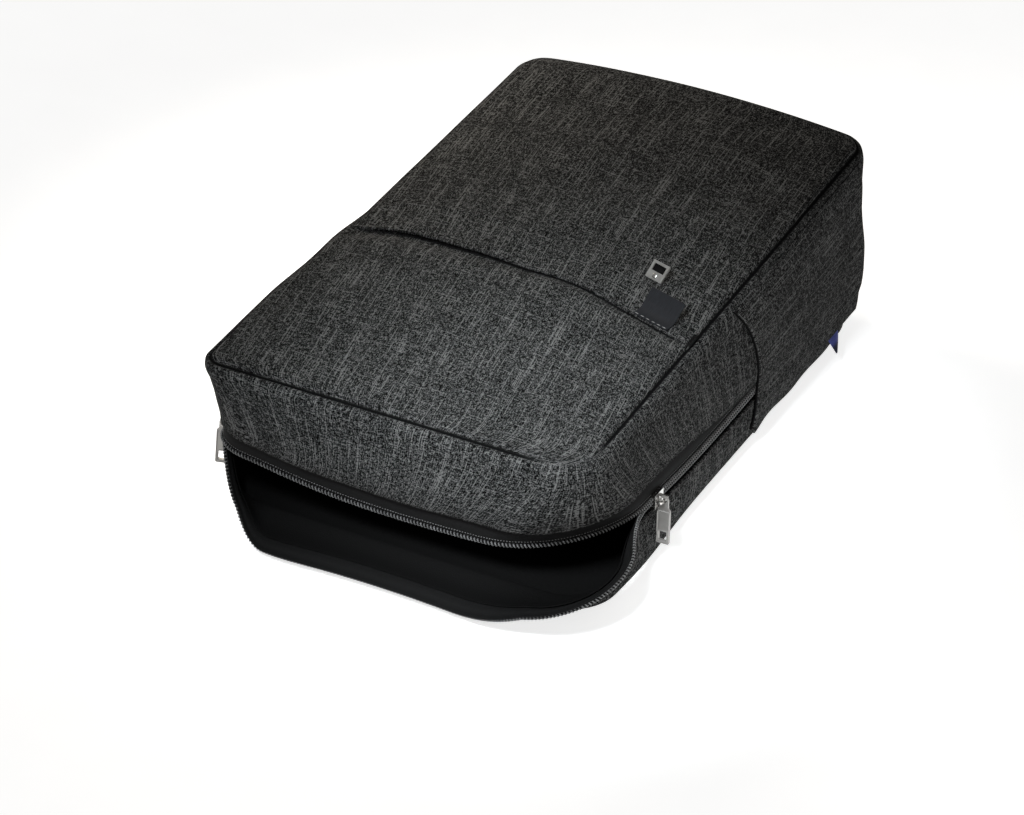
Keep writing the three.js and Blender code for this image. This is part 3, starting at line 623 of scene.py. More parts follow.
def top_band(share, where, corners=None):
    """Shell round the top end: left side, quarter circle, straight end, wider quarter circle, right side,
    lifted by two bell curves at the corners and flared at the left of the front seam."""
    stretch, along = where
    half, top, _, left, right, _ = section(share)
    if corners is not None:
        left, right = section(corners)[3:5]
    turn = along * math.pi / 2
    x = by_stretch(stretch, [
        -half + 0 * along, left - half - left * np.cos(turn), lerp(left - half, half - right, along),
        half - right + right * np.sin(turn), half + 0 * along,
    ])
    y = by_stretch(stretch, [
        lerp(JOIN, top + left, along), top + left - left * np.sin(turn), top + 0 * along,
        top + right - right * np.cos(turn), lerp(top + right, JOIN, along),
    ])
    upper = (FRONT_SHARE - share) / (FRONT_SHARE - ZIP_SHARE)
    lower = (share - SEAM_SHARE) / (LOWER_HEM - SEAM_SHARE)
    bells = sum(height * np.exp(-((x - a) ** 2 + (y - b) ** 2) / reach**2) for a, b, height, reach in LIFTS)
    z = share * depth_at(x, y) + bells * np.clip(np.minimum(upper, lower), 0, 1)
    return np.stack([x - left_flare(x, y, share), y, z], -1)


def left_flare(x, y, share):
    """Outward spread of the left side at the top end, most at the front seam, down to just past the mouth."""
    aside = smoothstep(-x, FRONT_HALF / 2, FRONT_HALF)
    aside = aside * (1 - 0.4 * smoothstep(y, 90, 150) - 0.6 * smoothstep(y, 170, 220))
    return 9 * aside * np.clip((share - 0.75) / (FRONT_SHARE - 0.75), 0, 1) ** 2


def seam_strength(x, y):
    """How tight the front seam is drawn: fully, but not round the right corner of the top end, and slackly
    along the left side."""
    off = smoothstep(x, 92, 116) * (1 - smoothstep(y, 16, 46))
    slack = 0.65 * smoothstep(-x, 110, 130) * smoothstep(y, 25, 60)
    return (1 - off) * (1 - slack)


def hem_level(where):
    """Level of the turned hem: even round the top end, sinking towards the chain along both sides."""
    y = top_band(np.array([[UPPER_HEM]]), where)[0, :, 1]
    return lerp(UPPER_HEM, SIDE_HEM, smoothstep(y, 110, 255))[None, :]


where = stretches([150, 60, 190, 110, 150])
face = top_band(levels(hem_level(where), EDGE_SHARE, 60), where)
strength = seam_strength(face[..., 0], face[..., 1])
face = puffed(face, 1.3, 11, 75, 0.9)
face, binding = sunk_seam(face, row_distance(face), strength)
# A black line along the hem's edge by the zip tape: painted shadow of the gap between hem and tape.
binding = np.maximum(binding, 1 - smoothstep(row_distance(face[::-1])[::-1], 0.5, 1.3))
flecked_wall("top_gusset_cloth", face, "top_gusset", binding)

# Lower lip: the flecked band from the zip down to the back seam. The open zip lets it fall outwards round the
# top end, so its black lining shows. The lining is a strip sewn in along the back seam and the tape.

SLIDER_RIGHT, SLIDER_LEFT = 100.0, 36.0
LIP_START, LIP_LEAN, LIP_SWELL = 12.0, 100.0, 3.5


def lip_band(share, where):
    """Lower lip: the band below the zip, with the back seam's corners, turned outwards about that seam by an
    angle that grows with the distance from each slider, crumpled at the left corner by a bell curve, and
    swelled a little below the right slider by another."""
    seam = top_band(np.array([[SEAM_SHARE]]), where)[0]
    upright = top_band(share, where, SEAM_SHARE)
    swell = LIP_SWELL * smoothstep(seam[:, 0], 100, 140) * np.exp(-(((seam[:, 1] - 80) / 55) ** 2))
    upright[..., 0] += swell * (1 - smoothstep(share, 0.1, 0.22))
    line = top_band(np.array([[ZIP_SHARE]]), where, SEAM_SHARE)[0]
    tangent = np.gradient(seam, axis=0)
    outward = unit(np.stack([tangent[:, 1], -tangent[:, 0], 0 * tangent[:, 0]], -1))
    axis = np.cross([0.0, 0.0, 1.0], outward)
    path = arc_length(line[:, :2])
    fallen_left = smoothstep(path - (JOIN - SLIDER_LEFT), LIP_START, 75)
    fallen_right = smoothstep(path[-1] - (JOIN - SLIDER_RIGHT) - path, LIP_START, 172)
    fallen = np.minimum(fallen_left, fallen_right)[:, None] * (share > 0.05)[..., None]
    lean = math.radians(LIP_LEAN) * fallen
    arm = upright - seam
    along = (arm * axis).sum(-1, keepdims=True) * axis
    fall = arm * (np.cos(lean) - 1) + np.cross(axis, arm) * np.sin(lean) + along * (1 - np.cos(lean))
    away = np.hypot(seam[:, 0] + 142.5, seam[:, 1] - 8) / 45
    kept = 1 - 0.9 * np.exp(-away * away)
    return upright + fall * np.stack([kept, kept, np.ones_like(kept)], -1)


where = stretches([140, 50, 150, 60, 140])
rows = np.append([SKIRT_SHARE, 0.04], np.linspace(SEAM_SHARE, LOWER_HEM, 22))
face = lip_band(rows[:, None], where)
flecked_wall("lower_lip_cloth", face, "lower_lip")
LIP_LINING_SINK, LIP_LINING_THICK = 4.6, 0.8
lining = lip_band(np.linspace(0.056, LOWER_HEM - 0.015, 18)[:, None], where)
lining = lining - LIP_LINING_SINK * grid_normals(lining)
strip = wall("lip_lining_strip", lining, LIP_LINING_THICK, [LINING], ["lip_lining"])

# Floor lining: thin black polyester cloth over the back panel, seen through the open mouth. It lies loose and
# slightly rucked, and its edges are caught in the back seam.

FLOOR_HALF, FLOOR_TOP, FLOOR_END, FLOOR_LEVEL, FLOOR_THICK = 139.4, 11.0, 444.0, 8.1, 0.6
FLOOR_LEFT, FLOOR_RIGHT, FLOOR_BASE = 26.0, 28.0, 22.0


def eased_rows(count):
    """Shares from 0 to 1, gathered towards both ends as a half turn of a cosine."""
    return (1 - np.cos(np.linspace(0, math.pi, count))) / 2


def corner_cut(y, top, end, top_radius, end_radius):
    """How far the quarter circles of a rectangle's two corners cut into one of its sides at y."""
    into_top = np.clip((top + top_radius - y) / top_radius, 0, 1)
    into_end = np.clip((y - end + end_radius) / end_radius, 0, 1)
    return top_radius * (1 - np.sqrt(1 - into_top**2)) + end_radius * (1 - np.sqrt(1 - into_end**2))


y = lerp(FLOOR_TOP, FLOOR_END, eased_rows(110))[:, None]
left = corner_cut(y, FLOOR_TOP, FLOOR_END, FLOOR_LEFT, FLOOR_BASE) - FLOOR_HALF
right = FLOOR_HALF - corner_cut(y, FLOOR_TOP, FLOOR_END, FLOOR_RIGHT, FLOOR_BASE)
x = lerp(left, right, np.linspace(0, 1, 80)[None, :])
y = y + 0 * x
margin = np.minimum(FLOOR_HALF - np.abs(x), np.minimum(y - FLOOR_TOP, FLOOR_END - y))
ruck = 0.4 * (1 + ripple(x, y, 21, 60)) * smoothstep(margin, 0, 20)
face = np.stack([x, y, FLOOR_LEVEL + ruck], -1)
floor_cloth = wall("floor_lining_cloth", face, FLOOR_THICK, [LINING], ["floor_lining"])

# Side pockets: a flat pocket over each lower side, in the same cloth, with a bowed mouth whose hem is folded
# over and stitched.

POCKET_THICK, POCKET_MOUTH, POCKET_END = 1.8, 256.0, 434.0
POCKET_LOW, POCKET_HIGH = 0.085, 0.955


def side_pocket(sign):
    """Pocket over one side: rows from a mouth bowed towards the bottom end to the bottom corner, columns from
    the back seam to the front seam, puffed a little and with a thicker folded hem at the mouth."""
    share = np.linspace(POCKET_LOW, POCKET_HIGH, 60)[None, :]
    share = share[:, ::-1] if sign > 0 else share
    along = np.linspace(0, 1, 110)[:, None] ** 1.5
    y = lerp(POCKET_MOUTH - 85 * (share - 0.3) ** 2, POCKET_END, along)
    puff = 1.2 * np.sin(math.pi * along) * np.sin(math.pi * share)
    past_mouth = along * (POCKET_END - POCKET_MOUTH)
    fold = 0.7 * smoothstep(past_mouth, 0, 1.5) * (1 - smoothstep(past_mouth, 7, 9))
    loose = smoothstep(POCKET_HIGH - share, 0, 0.14)
    x = sign * (base_half(share, y) + 0.9 + (1.3 + puff + fold) * loose)
    return np.stack([x, y, share * depth_at(x, y)], -1)


for side, sign in (("left", -1), ("right", 1)):
    face = side_pocket(sign)
    binding = np.zeros(face.shape[:2])
    # The mouth's edge row and its hem are black: partly a dark binding, partly painted shade of the gap under
    # the hem.
    binding[0] = 1
    flecked_wall(f"side_pocket_cloth_{side}", face, f"side_pocket_{side}", binding, thickness=POCKET_THICK)

# Zip of the main compartment: black ribbed tapes behind the hems, and a coil of black nylon on each tape's
# edge. The coils are meshed behind the two sliders and stand apart round the open top end.

NYLON, shader, tint = new_finish("black_nylon_coil", Roughness=0.4, Specular_IOR_Level=0.3)
tint.place().noise(0.003, 0.003).shades(grey(0.06), (0.12, 0.12, 0.121)).into(shader, "Base Color")
CORD, shader, tint = new_finish("black_cord", Roughness=0.9, Specular_IOR_Level=0.05)
tint.place().noise(0.002, 0.002).shades(grey(0.003), grey(0.006)).into(shader, "Base Color")
ZIP_TAPE = black_finish("zip_tape", 0.0007, 0.004, 0.0058, 0.2, 0.8)

COIL_PITCH, COIL_TURN, COIL_SIDES = 2.5, 10, 5
COIL_WIDE, COIL_TALL, COIL_THREAD, COIL_SINK = 1.2, 0.9, 0.5, 0.6
CORD_RADIUS, CORD_SIDES = 0.72, 8


def ring_faces(rings, sides, closed=False):
    """Quads of a tube of rings: each side of a ring with the same side of the next."""
    last = rings if closed else rings - 1
    i, j = np.meshgrid(np.arange(last), np.arange(sides), indexing="ij")
    k, n = (j + 1) % sides, (i + 1) % rings
    return np.stack([i * sides + j, i * sides + k, n * sides + k, n * sides + j], -1).reshape(-1, 4)


def tube(path, across, radius, sides, closed=False):
    """A round tube along a path, its section turned about the given cross direction, with flat ends."""
    slope = np.roll(path, -1, 0) - np.roll(path, 1, 0) if closed else np.gradient(path, axis=0)
    tangent = unit(slope)
    first = unit(across - (across * tangent).sum(-1, keepdims=True) * tangent)
    second = np.cross(tangent, first)
    turn = 2 * math.pi * np.arange(sides) / sides
    ring = np.cos(turn)[None, :, None] * first[:, None] + np.sin(turn)[None, :, None] * second[:, None]
    points = (path[:, None] + radius * ring).reshape(-1, 3)
    faces = ring_faces(len(path), sides, closed).tolist()
    if not closed:
        end = (len(path) - 1) * sides
        faces += [list(range(sides))[::-1], list(range(end, end + sides))]
    return points, faces


def sampled(at, path, values):
    """Values that are known along a path, at the given distances along it."""
    return np.stack([np.interp(at, path, column) for column in values.T], -1)


def coil(name, face, node):
    """Half of the zip's chain: a flattened helix of thread round the middle row of a three-row face, with a
    round cord inside it."""
    normal = grid_normals(face)[1]
    rise = unit(face[2] - face[0])
    middle = face[1] - COIL_SINK * normal
    path = arc_length(middle)
    at = np.linspace(0, path[-1], int(path[-1] / COIL_PITCH) * COIL_TURN + 1)
    turn = (2 * math.pi * at / COIL_PITCH)[:, None]
    out = COIL_WIDE * np.cos(turn) * sampled(at, path, rise)
    out = out + COIL_TALL * np.sin(turn) * sampled(at, path, normal)
    points, faces = tube(sampled(at, path, middle) + out, unit(out), COIL_THREAD, COIL_SIDES)
    add_piece(name, points, faces, [NYLON], [node])
    points, faces = tube(middle, rise, CORD_RADIUS, CORD_SIDES)
    add_piece(f"{name}_cord", points, faces, [CORD])


zip_where = stretches([300, 70, 260, 130, 300])
upper_rows = np.array([0.3175, 0.3278, 0.338])[:, None]
lower_rows = np.array([0.292, 0.3022, 0.3125])[:, None]
coil("zip_coil_upper", top_band(upper_rows, zip_where), "zip_chain_upper")
coil("zip_coil_lower", lip_band(lower_rows, zip_where), "zip_chain_lower")
TAPE_SINK, TAPE_TUCK, TAPE_THICK = 1.6, 1.6, 0.8


def zip_tape(level, face, covered):
    """A tape sunk behind its coil, and deeper where its cloth's hem covers it."""
    sunk = face - (TAPE_SINK + TAPE_TUCK * covered[:, None, None]) * grid_normals(face)
    wall(f"zip_tape_cloth_{level}", sunk, TAPE_THICK, [ZIP_TAPE], [f"zip_tape_{level}"])


where = stretches([120, 50, 130, 60, 120])
rows = np.linspace(0, 1, 12)
upper_tape = top_band(lerp(0.318, hem_level(where) + 0.03, rows[:, None]), where)
zip_tape("upper", upper_tape, smoothstep(rows, 0.45, 0.8))
lower_tape = lip_band(np.linspace(0.21, 0.312, 10)[:, None], where)
zip_tape("lower", lower_tape, smoothstep(np.linspace(1, 0, 10), 0.25, 0.6))

THREAD_SHARE = np.array([0.08, 0.35, 0.65, 0.92])
THREAD_SIDES = 5


def thread_row(name, line, normal, length, gap, radius, finish):
    """A row of stitches along a line: each a capsule whose radius is a half ellipse along its length, with
    its two ends closed to points, lying on the surface whose normals are given."""
    path = arc_length(line)
    count = int((path[-1] + gap) / (length + gap))
    share = np.concatenate([[0], THREAD_SHARE, [1]])
    at = np.arange(count)[:, None] * (length + gap) + share[None, :] * length
    middle = sampled(at, path, line)
    forward = unit(np.gradient(middle, axis=1))
    aside = unit(np.cross(forward, sampled(at, path, normal)))
    second = np.cross(forward, aside)
    turn = (2 * math.pi * np.arange(THREAD_SIDES) / THREAD_SIDES)[None, None, :, None]
    ring = np.cos(turn) * aside[:, 1:-1, None] + np.sin(turn) * second[:, 1:-1, None]
    swell = radius * np.sqrt(1 - (2 * THREAD_SHARE - 1) ** 2)
    rings = middle[:, 1:-1, None] + swell[None, :, None, None] * ring
    points = np.concatenate([rings.reshape(count, -1, 3), middle[:, :1], middle[:, -1:]], 1)
    body_count = len(THREAD_SHARE) * THREAD_SIDES
    j = np.arange(THREAD_SIDES)
    k = (j + 1) % THREAD_SIDES
    last = body_count - THREAD_SIDES
    head = np.stack([0 * j + body_count, k, j], -1)
    tail = np.stack([0 * j + body_count + 1, j + last, k + last], -1)
    first = (np.arange(count) * (body_count + 2))[:, None, None]
    quads = (ring_faces(len(THREAD_SHARE), THREAD_SIDES)[None] + first).reshape(-1, 4)
    tips = (np.concatenate([head, tail])[None] + first).reshape(-1, 3)
    add_piece(name, points.reshape(-1, 3), quads.tolist() + tips.tolist(), [finish])


def thread_finish(name, shade):
    """Spun sewing thread: matt, with a fine twist that lightens and darkens it."""
    material, shader, tint = new_finish(name, Roughness=0.75, Specular_IOR_Level=0.3)
    twist = tint.place().noise(0.0004, 0.0004)
    twist.shades(grey(0.7 * shade), grey(1.2 * shade)).into(shader, "Base Color")
    return material


GREY_THREAD = thread_finish("grey_thread", 0.11)
STITCH_SINK, STITCH_LONG, STITCH_GAP, STITCH_RADIUS = 1.5, 1.1, 0.9, 0.32
stitched = {
    "upper": top_band(np.array([0.352, 0.3555, 0.359])[:, None], zip_where),
    "lower": lip_band(np.array([0.271, 0.2745, 0.278])[:, None], zip_where),
}
for level, row in stitched.items():
    normal = grid_normals(row)[1]
    thread_row(
        f"tape_stitches_{level}", row[1] - STITCH_SINK * normal, normal,
        STITCH_LONG, STITCH_GAP, STITCH_RADIUS, GREY_THREAD,
    )

# Front panel: two pieces of the flecked cloth over thin foam. The pocket's piece starts at a folded hem
# across the bag, and the upper piece passes under that hem. Both are sewn into the drawn seam of the gussets.

CROWN, EDGE_ROLL, EDGE_DROP, PANEL_EASE = 5.5, 5.0, 1.2, 0.2
MOUTH_X = (-138, -116, -80, -47, -16, 24, 60, 88, 119, 138)
MOUTH_Y = (188, 195, 198.5, 196, 194, 191.5, 184.5, 177, 168, 162)
CREASE_X = (-138, -130, -116, -93, -62, -40, 138)
CREASE_Y = (213, 217, 227, 231, 234, 234, 234)
DENT, RIDGE, RIDGE_HALF = 1.8, 0.8, 1.4


def mouth_line(x):
    return through(MOUTH_X, MOUTH_Y, x)


def edge_distance(x, y):
    """Distance inside the panel's outline, a rectangle with three corner radii."""
    half, top, bottom, left, right, base = [float(n) for n in section(EDGE_SHARE)]
    radius = np.where(y > (top + bottom) / 2, base, np.where(x < 0, left, right))
    qx = np.abs(x) - (half - PANEL_EASE - radius)
    qy = np.abs(y - (top + bottom) / 2) - ((bottom - top) / 2 - PANEL_EASE - radius)
    outside = np.hypot(np.maximum(qx, 0), np.maximum(qy, 0))
    return radius - outside - np.minimum(np.maximum(qx, qy), 0)


def front_height(x, y):
    """Front panel: the tapering depth, a crown, soft unevenness, a valley along the mouth that ends in a
    crease on the left, and rolled edges."""
    endwise = np.abs(2 * y / BAG_LENGTH - 1)
    crown = CROWN * (1 - (x / FRONT_HALF) ** 2) * (1 - endwise**3)
    inside = np.maximum(edge_distance(x, y), 0)
    beyond = y - mouth_line(x)
    fade = 1 - smoothstep(x, 95, 132)
    near = np.exp(-((beyond / 16) ** 2))
    rise = through(CREASE_X, CREASE_Y, x) - mouth_line(x)
    slack = 1 - smoothstep(x, -60, -15)
    far = lerp(near, np.clip(1 - beyond / rise, 0, 1), slack)
    dent = DENT * np.where(beyond < 0, near, far) * smoothstep(inside, 0, 10) * fade
    dent = dent - RIDGE * np.exp(-(((beyond - rise) / RIDGE_HALF) ** 2)) * slack * smoothstep(inside, 0, 10)
    drop = EDGE_DROP * (1 - np.clip(inside / EDGE_ROLL, 0, 1)) ** 2
    calm = 1 - np.exp(-(((x - 90) / 30) ** 2) - ((y - 205) / 40) ** 2)
    soft = 0.8 * ripple(x, y, 5, 85) * smoothstep(inside, 0, 30) * calm
    return depth_at(x, y) + crown + soft - dent - drop


def panel(columns, rows, first, last):
    """Points of a panel piece between two lines y = first(x) and y = last(x)."""
    half, top, bottom, left, right, base = [float(n) for n in section(EDGE_SHARE)]
    across = np.linspace(-1, 1, columns)
    across = 0.55 * across + 0.45 * np.sin(across * math.pi / 2)
    guess = across[None, :] * half
    y = lerp(first(guess), last(guess), rows[:, None])

    cut_left, cut_right = [corner_cut(y, top, bottom, corner, base) for corner in (left, right)]
    x = across[None, :] * (half - PANEL_EASE - np.where(across[None, :] < 0, cut_left, cut_right))
    return x, y


def pocket_height(x, y):
    """Front panel with the pocket's hem on it: the cloth is folded double over a strip along the mouth."""
    beyond = y - mouth_line(x)
    return front_height(x, y) + 0.5 * (1 - smoothstep(beyond, 9, 12)) * smoothstep(edge_distance(x, y), 2, 25)


SKEW, SKEW_FROM, SKEW_FADE = 0.158, 190.0, 260.0


def skewed_weave(face):
    """Cloth coordinates of a front piece: its warp leans to the left by an even skew above the mouth, which
    fades as a parabola towards the bottom end."""
    weave = weave_of(face)
    run = face[..., 1] - SKEW_FROM
    weave[..., 0] += SKEW * (run - np.maximum(run, 0) ** 2 / (2 * SKEW_FADE)) / 1000
    return weave


front_top, front_bottom = [float(n) for n in section(EDGE_SHARE)[1:3]]
UNDERLAP, ROW_GATHER = 12.0, 0.6
rows = lerp(np.linspace(0, 1, 180), eased_rows(180), ROW_GATHER)
x, y = panel(200, rows, lambda x: front_top + PANEL_EASE + 0 * x, lambda x: mouth_line(x) + UNDERLAP)
beyond = y - mouth_line(x)
inside = np.maximum(edge_distance(x, y), 0)
slack = 1 - smoothstep(x, -60, 20)
dip = lerp(2.7, 3.9, slack) * smoothstep(beyond, lerp(-10, -24, slack), 0) * smoothstep(inside, 0, 18)
z = front_height(x, y) - dip
face = np.stack([x - left_flare(x, y, FRONT_SHARE), y, z], -1)
face, binding = sunk_seam(face, inside + 4 * smoothstep(beyond, -4, 2), seam_strength(x, y))
# The strip that goes under the hem is painted black: painted shade of the gap under the hem.
painted_hem_shade = 0.9 * smoothstep(beyond, -2.4, -0.6) * smoothstep(x, -135, -90)
flecked_wall("front_upper_cloth", face, "front_upper", np.maximum(binding, painted_hem_shade), skewed_weave(face))

rows = lerp(np.linspace(0, 1, 230), eased_rows(230), ROW_GATHER)
x, y = panel(190, rows, mouth_line, lambda x: front_bottom - PANEL_EASE + 0 * x)
inside = np.maximum(edge_distance(x, y), 0)
face = np.stack([x - left_flare(x, y, FRONT_SHARE), y, pocket_height(x, y)], -1)
face, binding = sunk_seam(face, inside, seam_strength(x, y))
flecked_wall("front_pocket_cloth", face, "front_pocket", binding, skewed_weave(face))

# Sliders and pull tabs: nickel-plated castings. The tab hangs by its eye on the slider's bent-wire bail, and
# has a raised rim and a window at its lower end.


def nickel_finish(name, shade, roughness, metallic):
    """Nickel plate: an even grey metal, whose gloss is dulled in rubbed patches and fine scratches."""
    material, shader, tint = new_finish(name, Metallic=metallic)
    place = tint.place()
    patch = place.node("ShaderNodeTexNoise", None, {"Vector": place, "Scale": 260.0, "Detail": 3.0})
    scratch = place.node("ShaderNodeTexNoise", None, {"Vector": place, "Scale": 1900.0, "Detail": 2.0})
    patch.shades(tuple(0.86 * n for n in shade), shade).into(shader, "Base Color")
    (roughness - 0.12 + patch * 0.16 + scratch * 0.08).into(shader, "Roughness")
    scratch.bump(0.08, 0.0002).into(shader, "Normal")
    return material


CHROME = nickel_finish("bright_nickel", (0.47, 0.46, 0.445), 0.24, 1.0)
SATIN_NICKEL = nickel_finish("satin_nickel", (0.31, 0.30, 0.287), 0.45, 0.7)
DULL_NICKEL = nickel_finish("dull_nickel", (0.24, 0.236, 0.226), 0.40, 0.75)


def keep_node(node, finish, edge):
    """A rigid piece shown as it was drawn: its corners merged, its edges rounded by edge metres, and its
    finish set."""
    kept = frame["nodes"][node]
    weld = kept.modifiers.new("weld", "WELD")
    weld.merge_threshold = 1e-5
    bevel = kept.modifiers.new("bevel", "BEVEL")
    bevel.width, bevel.segments = edge, 2
    bevel.limit_method, bevel.angle_limit = "ANGLE", math.radians(32)
    kept.material_slots[0].material = finish


PULL_HALF, PULL_SHOULDER, PULL_END = 4.8, -8.6, -34.5
RIM_INSET, RIM_RADIUS, RIM_SIDES, PULL_FACE = 0.55, 0.5, 6, 0.75
WINDOW_HALF, WINDOW_LOW, WINDOW_HIGH = 3.3, -32.3, -24.2


def rounded_loop(corners, radius, steps=5):
    """A closed line round flat corners, each rounded by a cubic through the corner's two tangent points."""
    corners = np.asarray(corners, float)
    ahead = unit(np.roll(corners, -1, 0) - corners)
    behind = unit(np.roll(corners, 1, 0) - corners)
    t = np.linspace(0, 1, steps)[None, :, None]
    first, last = (corners + radius * behind)[:, None], (corners + radius * ahead)[:, None]
    return ((1 - t) ** 2 * first + 2 * t * (1 - t) * corners[:, None] + t**2 * last).reshape(-1, 2)


def turn_about(axis, degrees):
    return np.array(Matrix.Rotation(math.radians(degrees), 3, axis))


joint_places = {joint["child"]: np.array(joint["pos_m"]) * 1000 - SHELL for joint in frame["joints"]}
hangs = {
    "right": np.eye(3),
    "left": turn_about("Z", 180) @ turn_about("Y", -5) @ turn_about("Z", 22),
}
half, low = PULL_HALF - RIM_INSET, PULL_END + RIM_INSET
rim_lines = [
    rounded_loop([(-wide, base), (wide, base), (wide, top), (-wide, top)], radius)
    for wide, base, top, radius in (
        (half, low, PULL_SHOULDER, 0.9), (WINDOW_HALF, WINDOW_LOW, WINDOW_HIGH, 0.8),
    )
]
for side, hang in hangs.items():
    keep_node(f"slider_{side}", CHROME, 0.0004)
    keep_node(f"pull_{side}", SATIN_NICKEL, 0.0003)
    points, faces = np.zeros((0, 3)), []
    for line in rim_lines:
        for level in (-PULL_FACE, PULL_FACE):
            path = np.stack([line[:, 0], np.full(len(line), level), line[:, 1]], -1)
            across = np.tile([0.0, 1.0, 0.0], (len(path), 1))
            bead, quads = tube(path, across, RIM_RADIUS, RIM_SIDES, closed=True)
            faces += (np.array(quads) + len(points)).tolist()
            points = np.concatenate([points, bead])
    placed = points @ hang.T + joint_places[f"pull_{side}"]
    add_piece(f"pull_rim_{side}", placed, faces, [SATIN_NICKEL], body=f"pull_{side}")

# Label: a woven satin patch of dark blue-grey, left bare, at the mouth of the front pocket. It is sewn on
# along its near edge with grey thread, and the rest of it curls up.

LABEL_X, LABEL_Y, LABEL_WIDE, LABEL_LONG, LABEL_THICK = 101.5, 172.0, 29.5, 22.5, 0.6
LABEL_TURN, LABEL_CURL = math.radians(-15), math.radians(42)
LABEL_THREAD = thread_finish("label_thread", 0.2)
SATIN, shader, tint = new_finish("label_satin", Specular_IOR_Level=0.12)
rib = tint.weave().noise(0.0004, 0.006, 1.0)
rib.shades((0.0036, 0.0042, 0.0054), (0.0080, 0.0090, 0.0115)).into(shader, "Base Color")
(0.5 + rib * 0.2).into(shader, "Roughness")
rib.bump(0.25, 0.0002).into(shader, "Normal")


def label_place(across, run):
    """Point of the label: run along it from its near edge, over which its slope eases up from flat to its
    full curl, so its height and reach are the means of the slope's sine and cosine times the run."""
    steps = np.linspace(0, 1, 60)[:, None] * np.ravel(run)[None, :]
    slope = LABEL_CURL * smoothstep(steps, 2.5, 12)
    along = (np.cos(slope).mean(0) * np.ravel(run)).reshape(np.shape(run))
    lift = (np.sin(slope).mean(0) * np.ravel(run)).reshape(np.shape(run))
    x = LABEL_X + across * math.cos(LABEL_TURN) - along * math.sin(LABEL_TURN)
    y = LABEL_Y + across * math.sin(LABEL_TURN) + along * math.cos(LABEL_TURN)
    return np.stack([x, y, pocket_height(x, np.maximum(y, mouth_line(x))) + 1.2 + lift], -1)


across, run = np.meshgrid(np.linspace(-LABEL_WIDE / 2, LABEL_WIDE / 2, 30), np.linspace(0, LABEL_LONG, 36))
face = label_place(across, run)
wall("front_label_patch", face, LABEL_THICK, [SATIN], ["front_label"])
across = np.linspace(-LABEL_WIDE / 2 + 1, LABEL_WIDE / 2 - 1, 40)
line, upward = label_place(across, np.full(40, 1.0)), np.tile([0.0, 0.0, 1.0], (40, 1))
thread_row("label_stitches", line, upward, 2.9, 1.9, 0.3, LABEL_THREAD)

# Metal loop beyond the label: a plated frame standing up on its near edge, with a small square stud and a thin
# black strip across its window, which keeps the window dark.

keep_node("front_loop", DULL_NICKEL, 0.0004)
LOOP_X, LOOP_Y, LOOP_TURN, LOOP_TILT, LOOP_THICK, LOOP_EASE = 83.0, 215.5, -15.0, 45.0, 1.6, 0.6
STUD_HALF, STUD_TALL, STUD_PLACE = 1.7, 0.9, 2.9


def front_normal(x, y, step=4.0):
    """Unit normal of the front panel, from its slopes over a step to either side."""
    x, y = np.array([x + step, x - step, x, x]), np.array([y, y, y + step, y - step])
    height = front_height(x, y)
    return unit(np.array([height[1] - height[0], height[3] - height[2], 2 * step]))


def stud(half, tall):
    """A low square boss: rings of a rounded square whose size falls off over its height, with a flat top."""
    angle = np.linspace(0, 2 * math.pi, 24, endpoint=False)
    square = (np.abs(np.cos(angle)) ** 5 + np.abs(np.sin(angle)) ** 5) ** -0.2 * half
    size = np.array([1.0, 1.0, 0.94, 0.8])[:, None]
    height = np.array([-0.4, 0.55, 0.85, 1.0])[:, None] * tall + 0 * angle
    points = np.stack([size * square * np.cos(angle), size * square * np.sin(angle), height], -1)
    return points.reshape(-1, 3), ring_faces(4, 24).tolist() + [list(range(24))[::-1], list(range(72, 96))]


normal = front_normal(LOOP_X, LOOP_Y)
leaning = np.array(Vector((0, 0, 1)).rotation_difference(Vector(normal.tolist())).to_matrix())
stands = leaning @ turn_about("Z", LOOP_TURN) @ turn_about("X", LOOP_TILT)
foot_level = float(front_height(np.array(LOOP_X), np.array(LOOP_Y)))
foot = np.array([LOOP_X, LOOP_Y, foot_level]) + LOOP_EASE * normal
points, faces = stud(STUD_HALF, STUD_TALL)
placed = (points + (0, STUD_PLACE, LOOP_THICK)) @ stands.T + foot
add_piece("front_loop_stud", placed, faces, [CHROME])

# A thin black strip across the loop's window, which keeps the window dark.
STRIP_HALF, STRIP_FROM, STRIP_TO, STRIP_LEVEL = 5.4, 5.6, 11.4, 1.0
STRIP_SAG, STRIP_THICK = 0.5, 0.4
across, run = np.meshgrid(np.linspace(-STRIP_HALF, STRIP_HALF, 14), np.linspace(STRIP_FROM, STRIP_TO, 10))
sag = STRIP_SAG * np.sin(math.pi * (run - STRIP_FROM) / (STRIP_TO - STRIP_FROM))
window_strip = np.stack([across, run, STRIP_LEVEL - sag], -1)
wall("front_loop_window_strip", window_strip @ stands.T + foot, STRIP_THICK, [LINING])

# Side tag: a short ribbon of blue woven polyester, left bare. It is sewn into the right back seam near the
# bottom end, folded to a point, and droops over the seam.

TAG_X, TAG_Y, TAG_Z, TAG_DROOP, TAG_HALF = 148.0, 393.0, 6.0, math.radians(52), 8.0
TAG_ROOT, TAG_TIP, TAG_THICK = -6.5, 5.0, 0.8
TAG_BLUE, shader, tint = new_finish("tag_blue", Roughness=0.6, Specular_IOR_Level=0.3)
cloth = tint.weave()
blue = cloth.noise(0.0005, 0.0005, 1.0).shades((0.035, 0.045, 0.19), (0.07, 0.085, 0.30))
reach = cloth.node("ShaderNodeSeparateXYZ", None, {0: cloth})
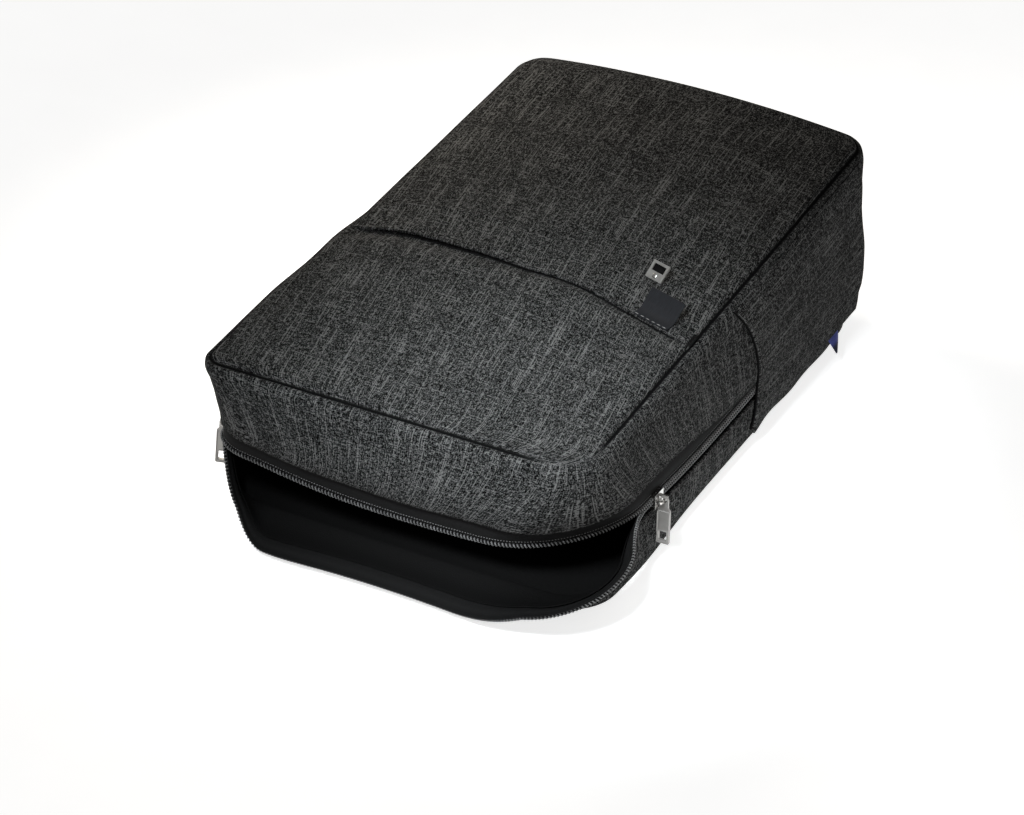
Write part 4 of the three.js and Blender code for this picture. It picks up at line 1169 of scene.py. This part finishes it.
# From 4 to 9 mm out along the ribbon it turns dark navy towards its tip: painted shadow.
reach.eased(0.004, 0.009).mix(blue, (0.006, 0.008, 0.022, 1)).into(shader, "Base Color")
out = np.linspace(0, 1, 24)[None, :]
width = np.linspace(0, 1, 16)[:, None]
aside = lerp(-TAG_HALF, lerp(TAG_HALF, 1.0 - TAG_HALF, out**1.2), width)
reach = lerp(TAG_ROOT, TAG_TIP, out) + 0 * aside
lift = 0.9 + 0.8 * np.sin(math.pi * out) * np.sin(math.pi * width)
x = TAG_X + reach * math.cos(TAG_DROOP) + lift * math.sin(TAG_DROOP)
z = TAG_Z - reach * math.sin(TAG_DROOP) + lift * math.cos(TAG_DROOP)
face = np.stack([x, TAG_Y + aside, z], -1)
wall("side_tag_ribbon", face, TAG_THICK, [TAG_BLUE], ["side_tag"])

# Webbing under the bag: a strap from each shoulder pad's ladder lock to the bottom corner, and the grab
# handle. All are ribbed black webbing, sewn down at their ends; the ladder locks are moulded nylon.

WEBBING = black_finish("black_webbing", 0.012, 0.0011, 0.008, 0.5, 0.7)
MOULDED, shader, tint = new_finish("moulded_nylon", Specular_IOR_Level=0.4)
pit = tint.place().noise(0.0008, 0.0008)
pit.shades(grey(0.009), (0.014, 0.014, 0.0145)).into(shader, "Base Color")
(0.4 + pit * 0.2).into(shader, "Roughness")
pit.bump(0.15, 0.0003).into(shader, "Normal")

STRAP_FLOOR = -float(SHELL[2])
WEB_HALF, WEB_THICK, RIB_PITCH, RIB_HEIGHT = 12.5, 1.6, 2.4, 0.12


def webbing_strip(name, middle, direction, node):
    """A flat strip of webbing: a middle line, its width along direction, and a fine wave of ribs across it."""
    width = np.linspace(-1, 1, 22)[:, None, None] * WEB_HALF
    ribs = RIB_HEIGHT * np.cos(2 * math.pi * arc_length(middle) / RIB_PITCH)[None, :, None]
    face = middle[None] + width * direction + ribs * np.array([0.0, 0.0, -1.0])
    wall(name, face, WEB_THICK, [WEBBING], [node])


for side, sign in (("left", -1), ("right", 1)):
    keep_node(f"strap_adjuster_{side}", MOULDED, 0.0008)
    t = np.linspace(0, 1, 160)
    x = sign * lerp(90.0, 118.0, smoothstep(t, 0.1, 1.0))
    y = lerp(347.0, 424.0, t)
    low = smoothstep(y, 357, 372)
    strap = np.stack([x, y, STRAP_FLOOR + lerp(1.9, 7.3, low)], -1)
    webbing_strip(f"strap_webbing_{side}", strap, np.array([1.0, 0.0, 0.0]), f"strap_web_{side}")

t = np.linspace(-1, 1, 120)
HANDLE_HALF, HANDLE_PLACE, HANDLE_LEVEL, HANDLE_SAG = 44.0, 26.0, -2.4, 3.0
level = HANDLE_LEVEL - HANDLE_SAG * (1 - t * t)
handle = np.stack([HANDLE_HALF * t, np.full(120, HANDLE_PLACE), level], -1)
webbing_strip("grab_handle_webbing", handle, np.array([0.0, -1.0, 0.0]), "grab_handle")

low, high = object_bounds()
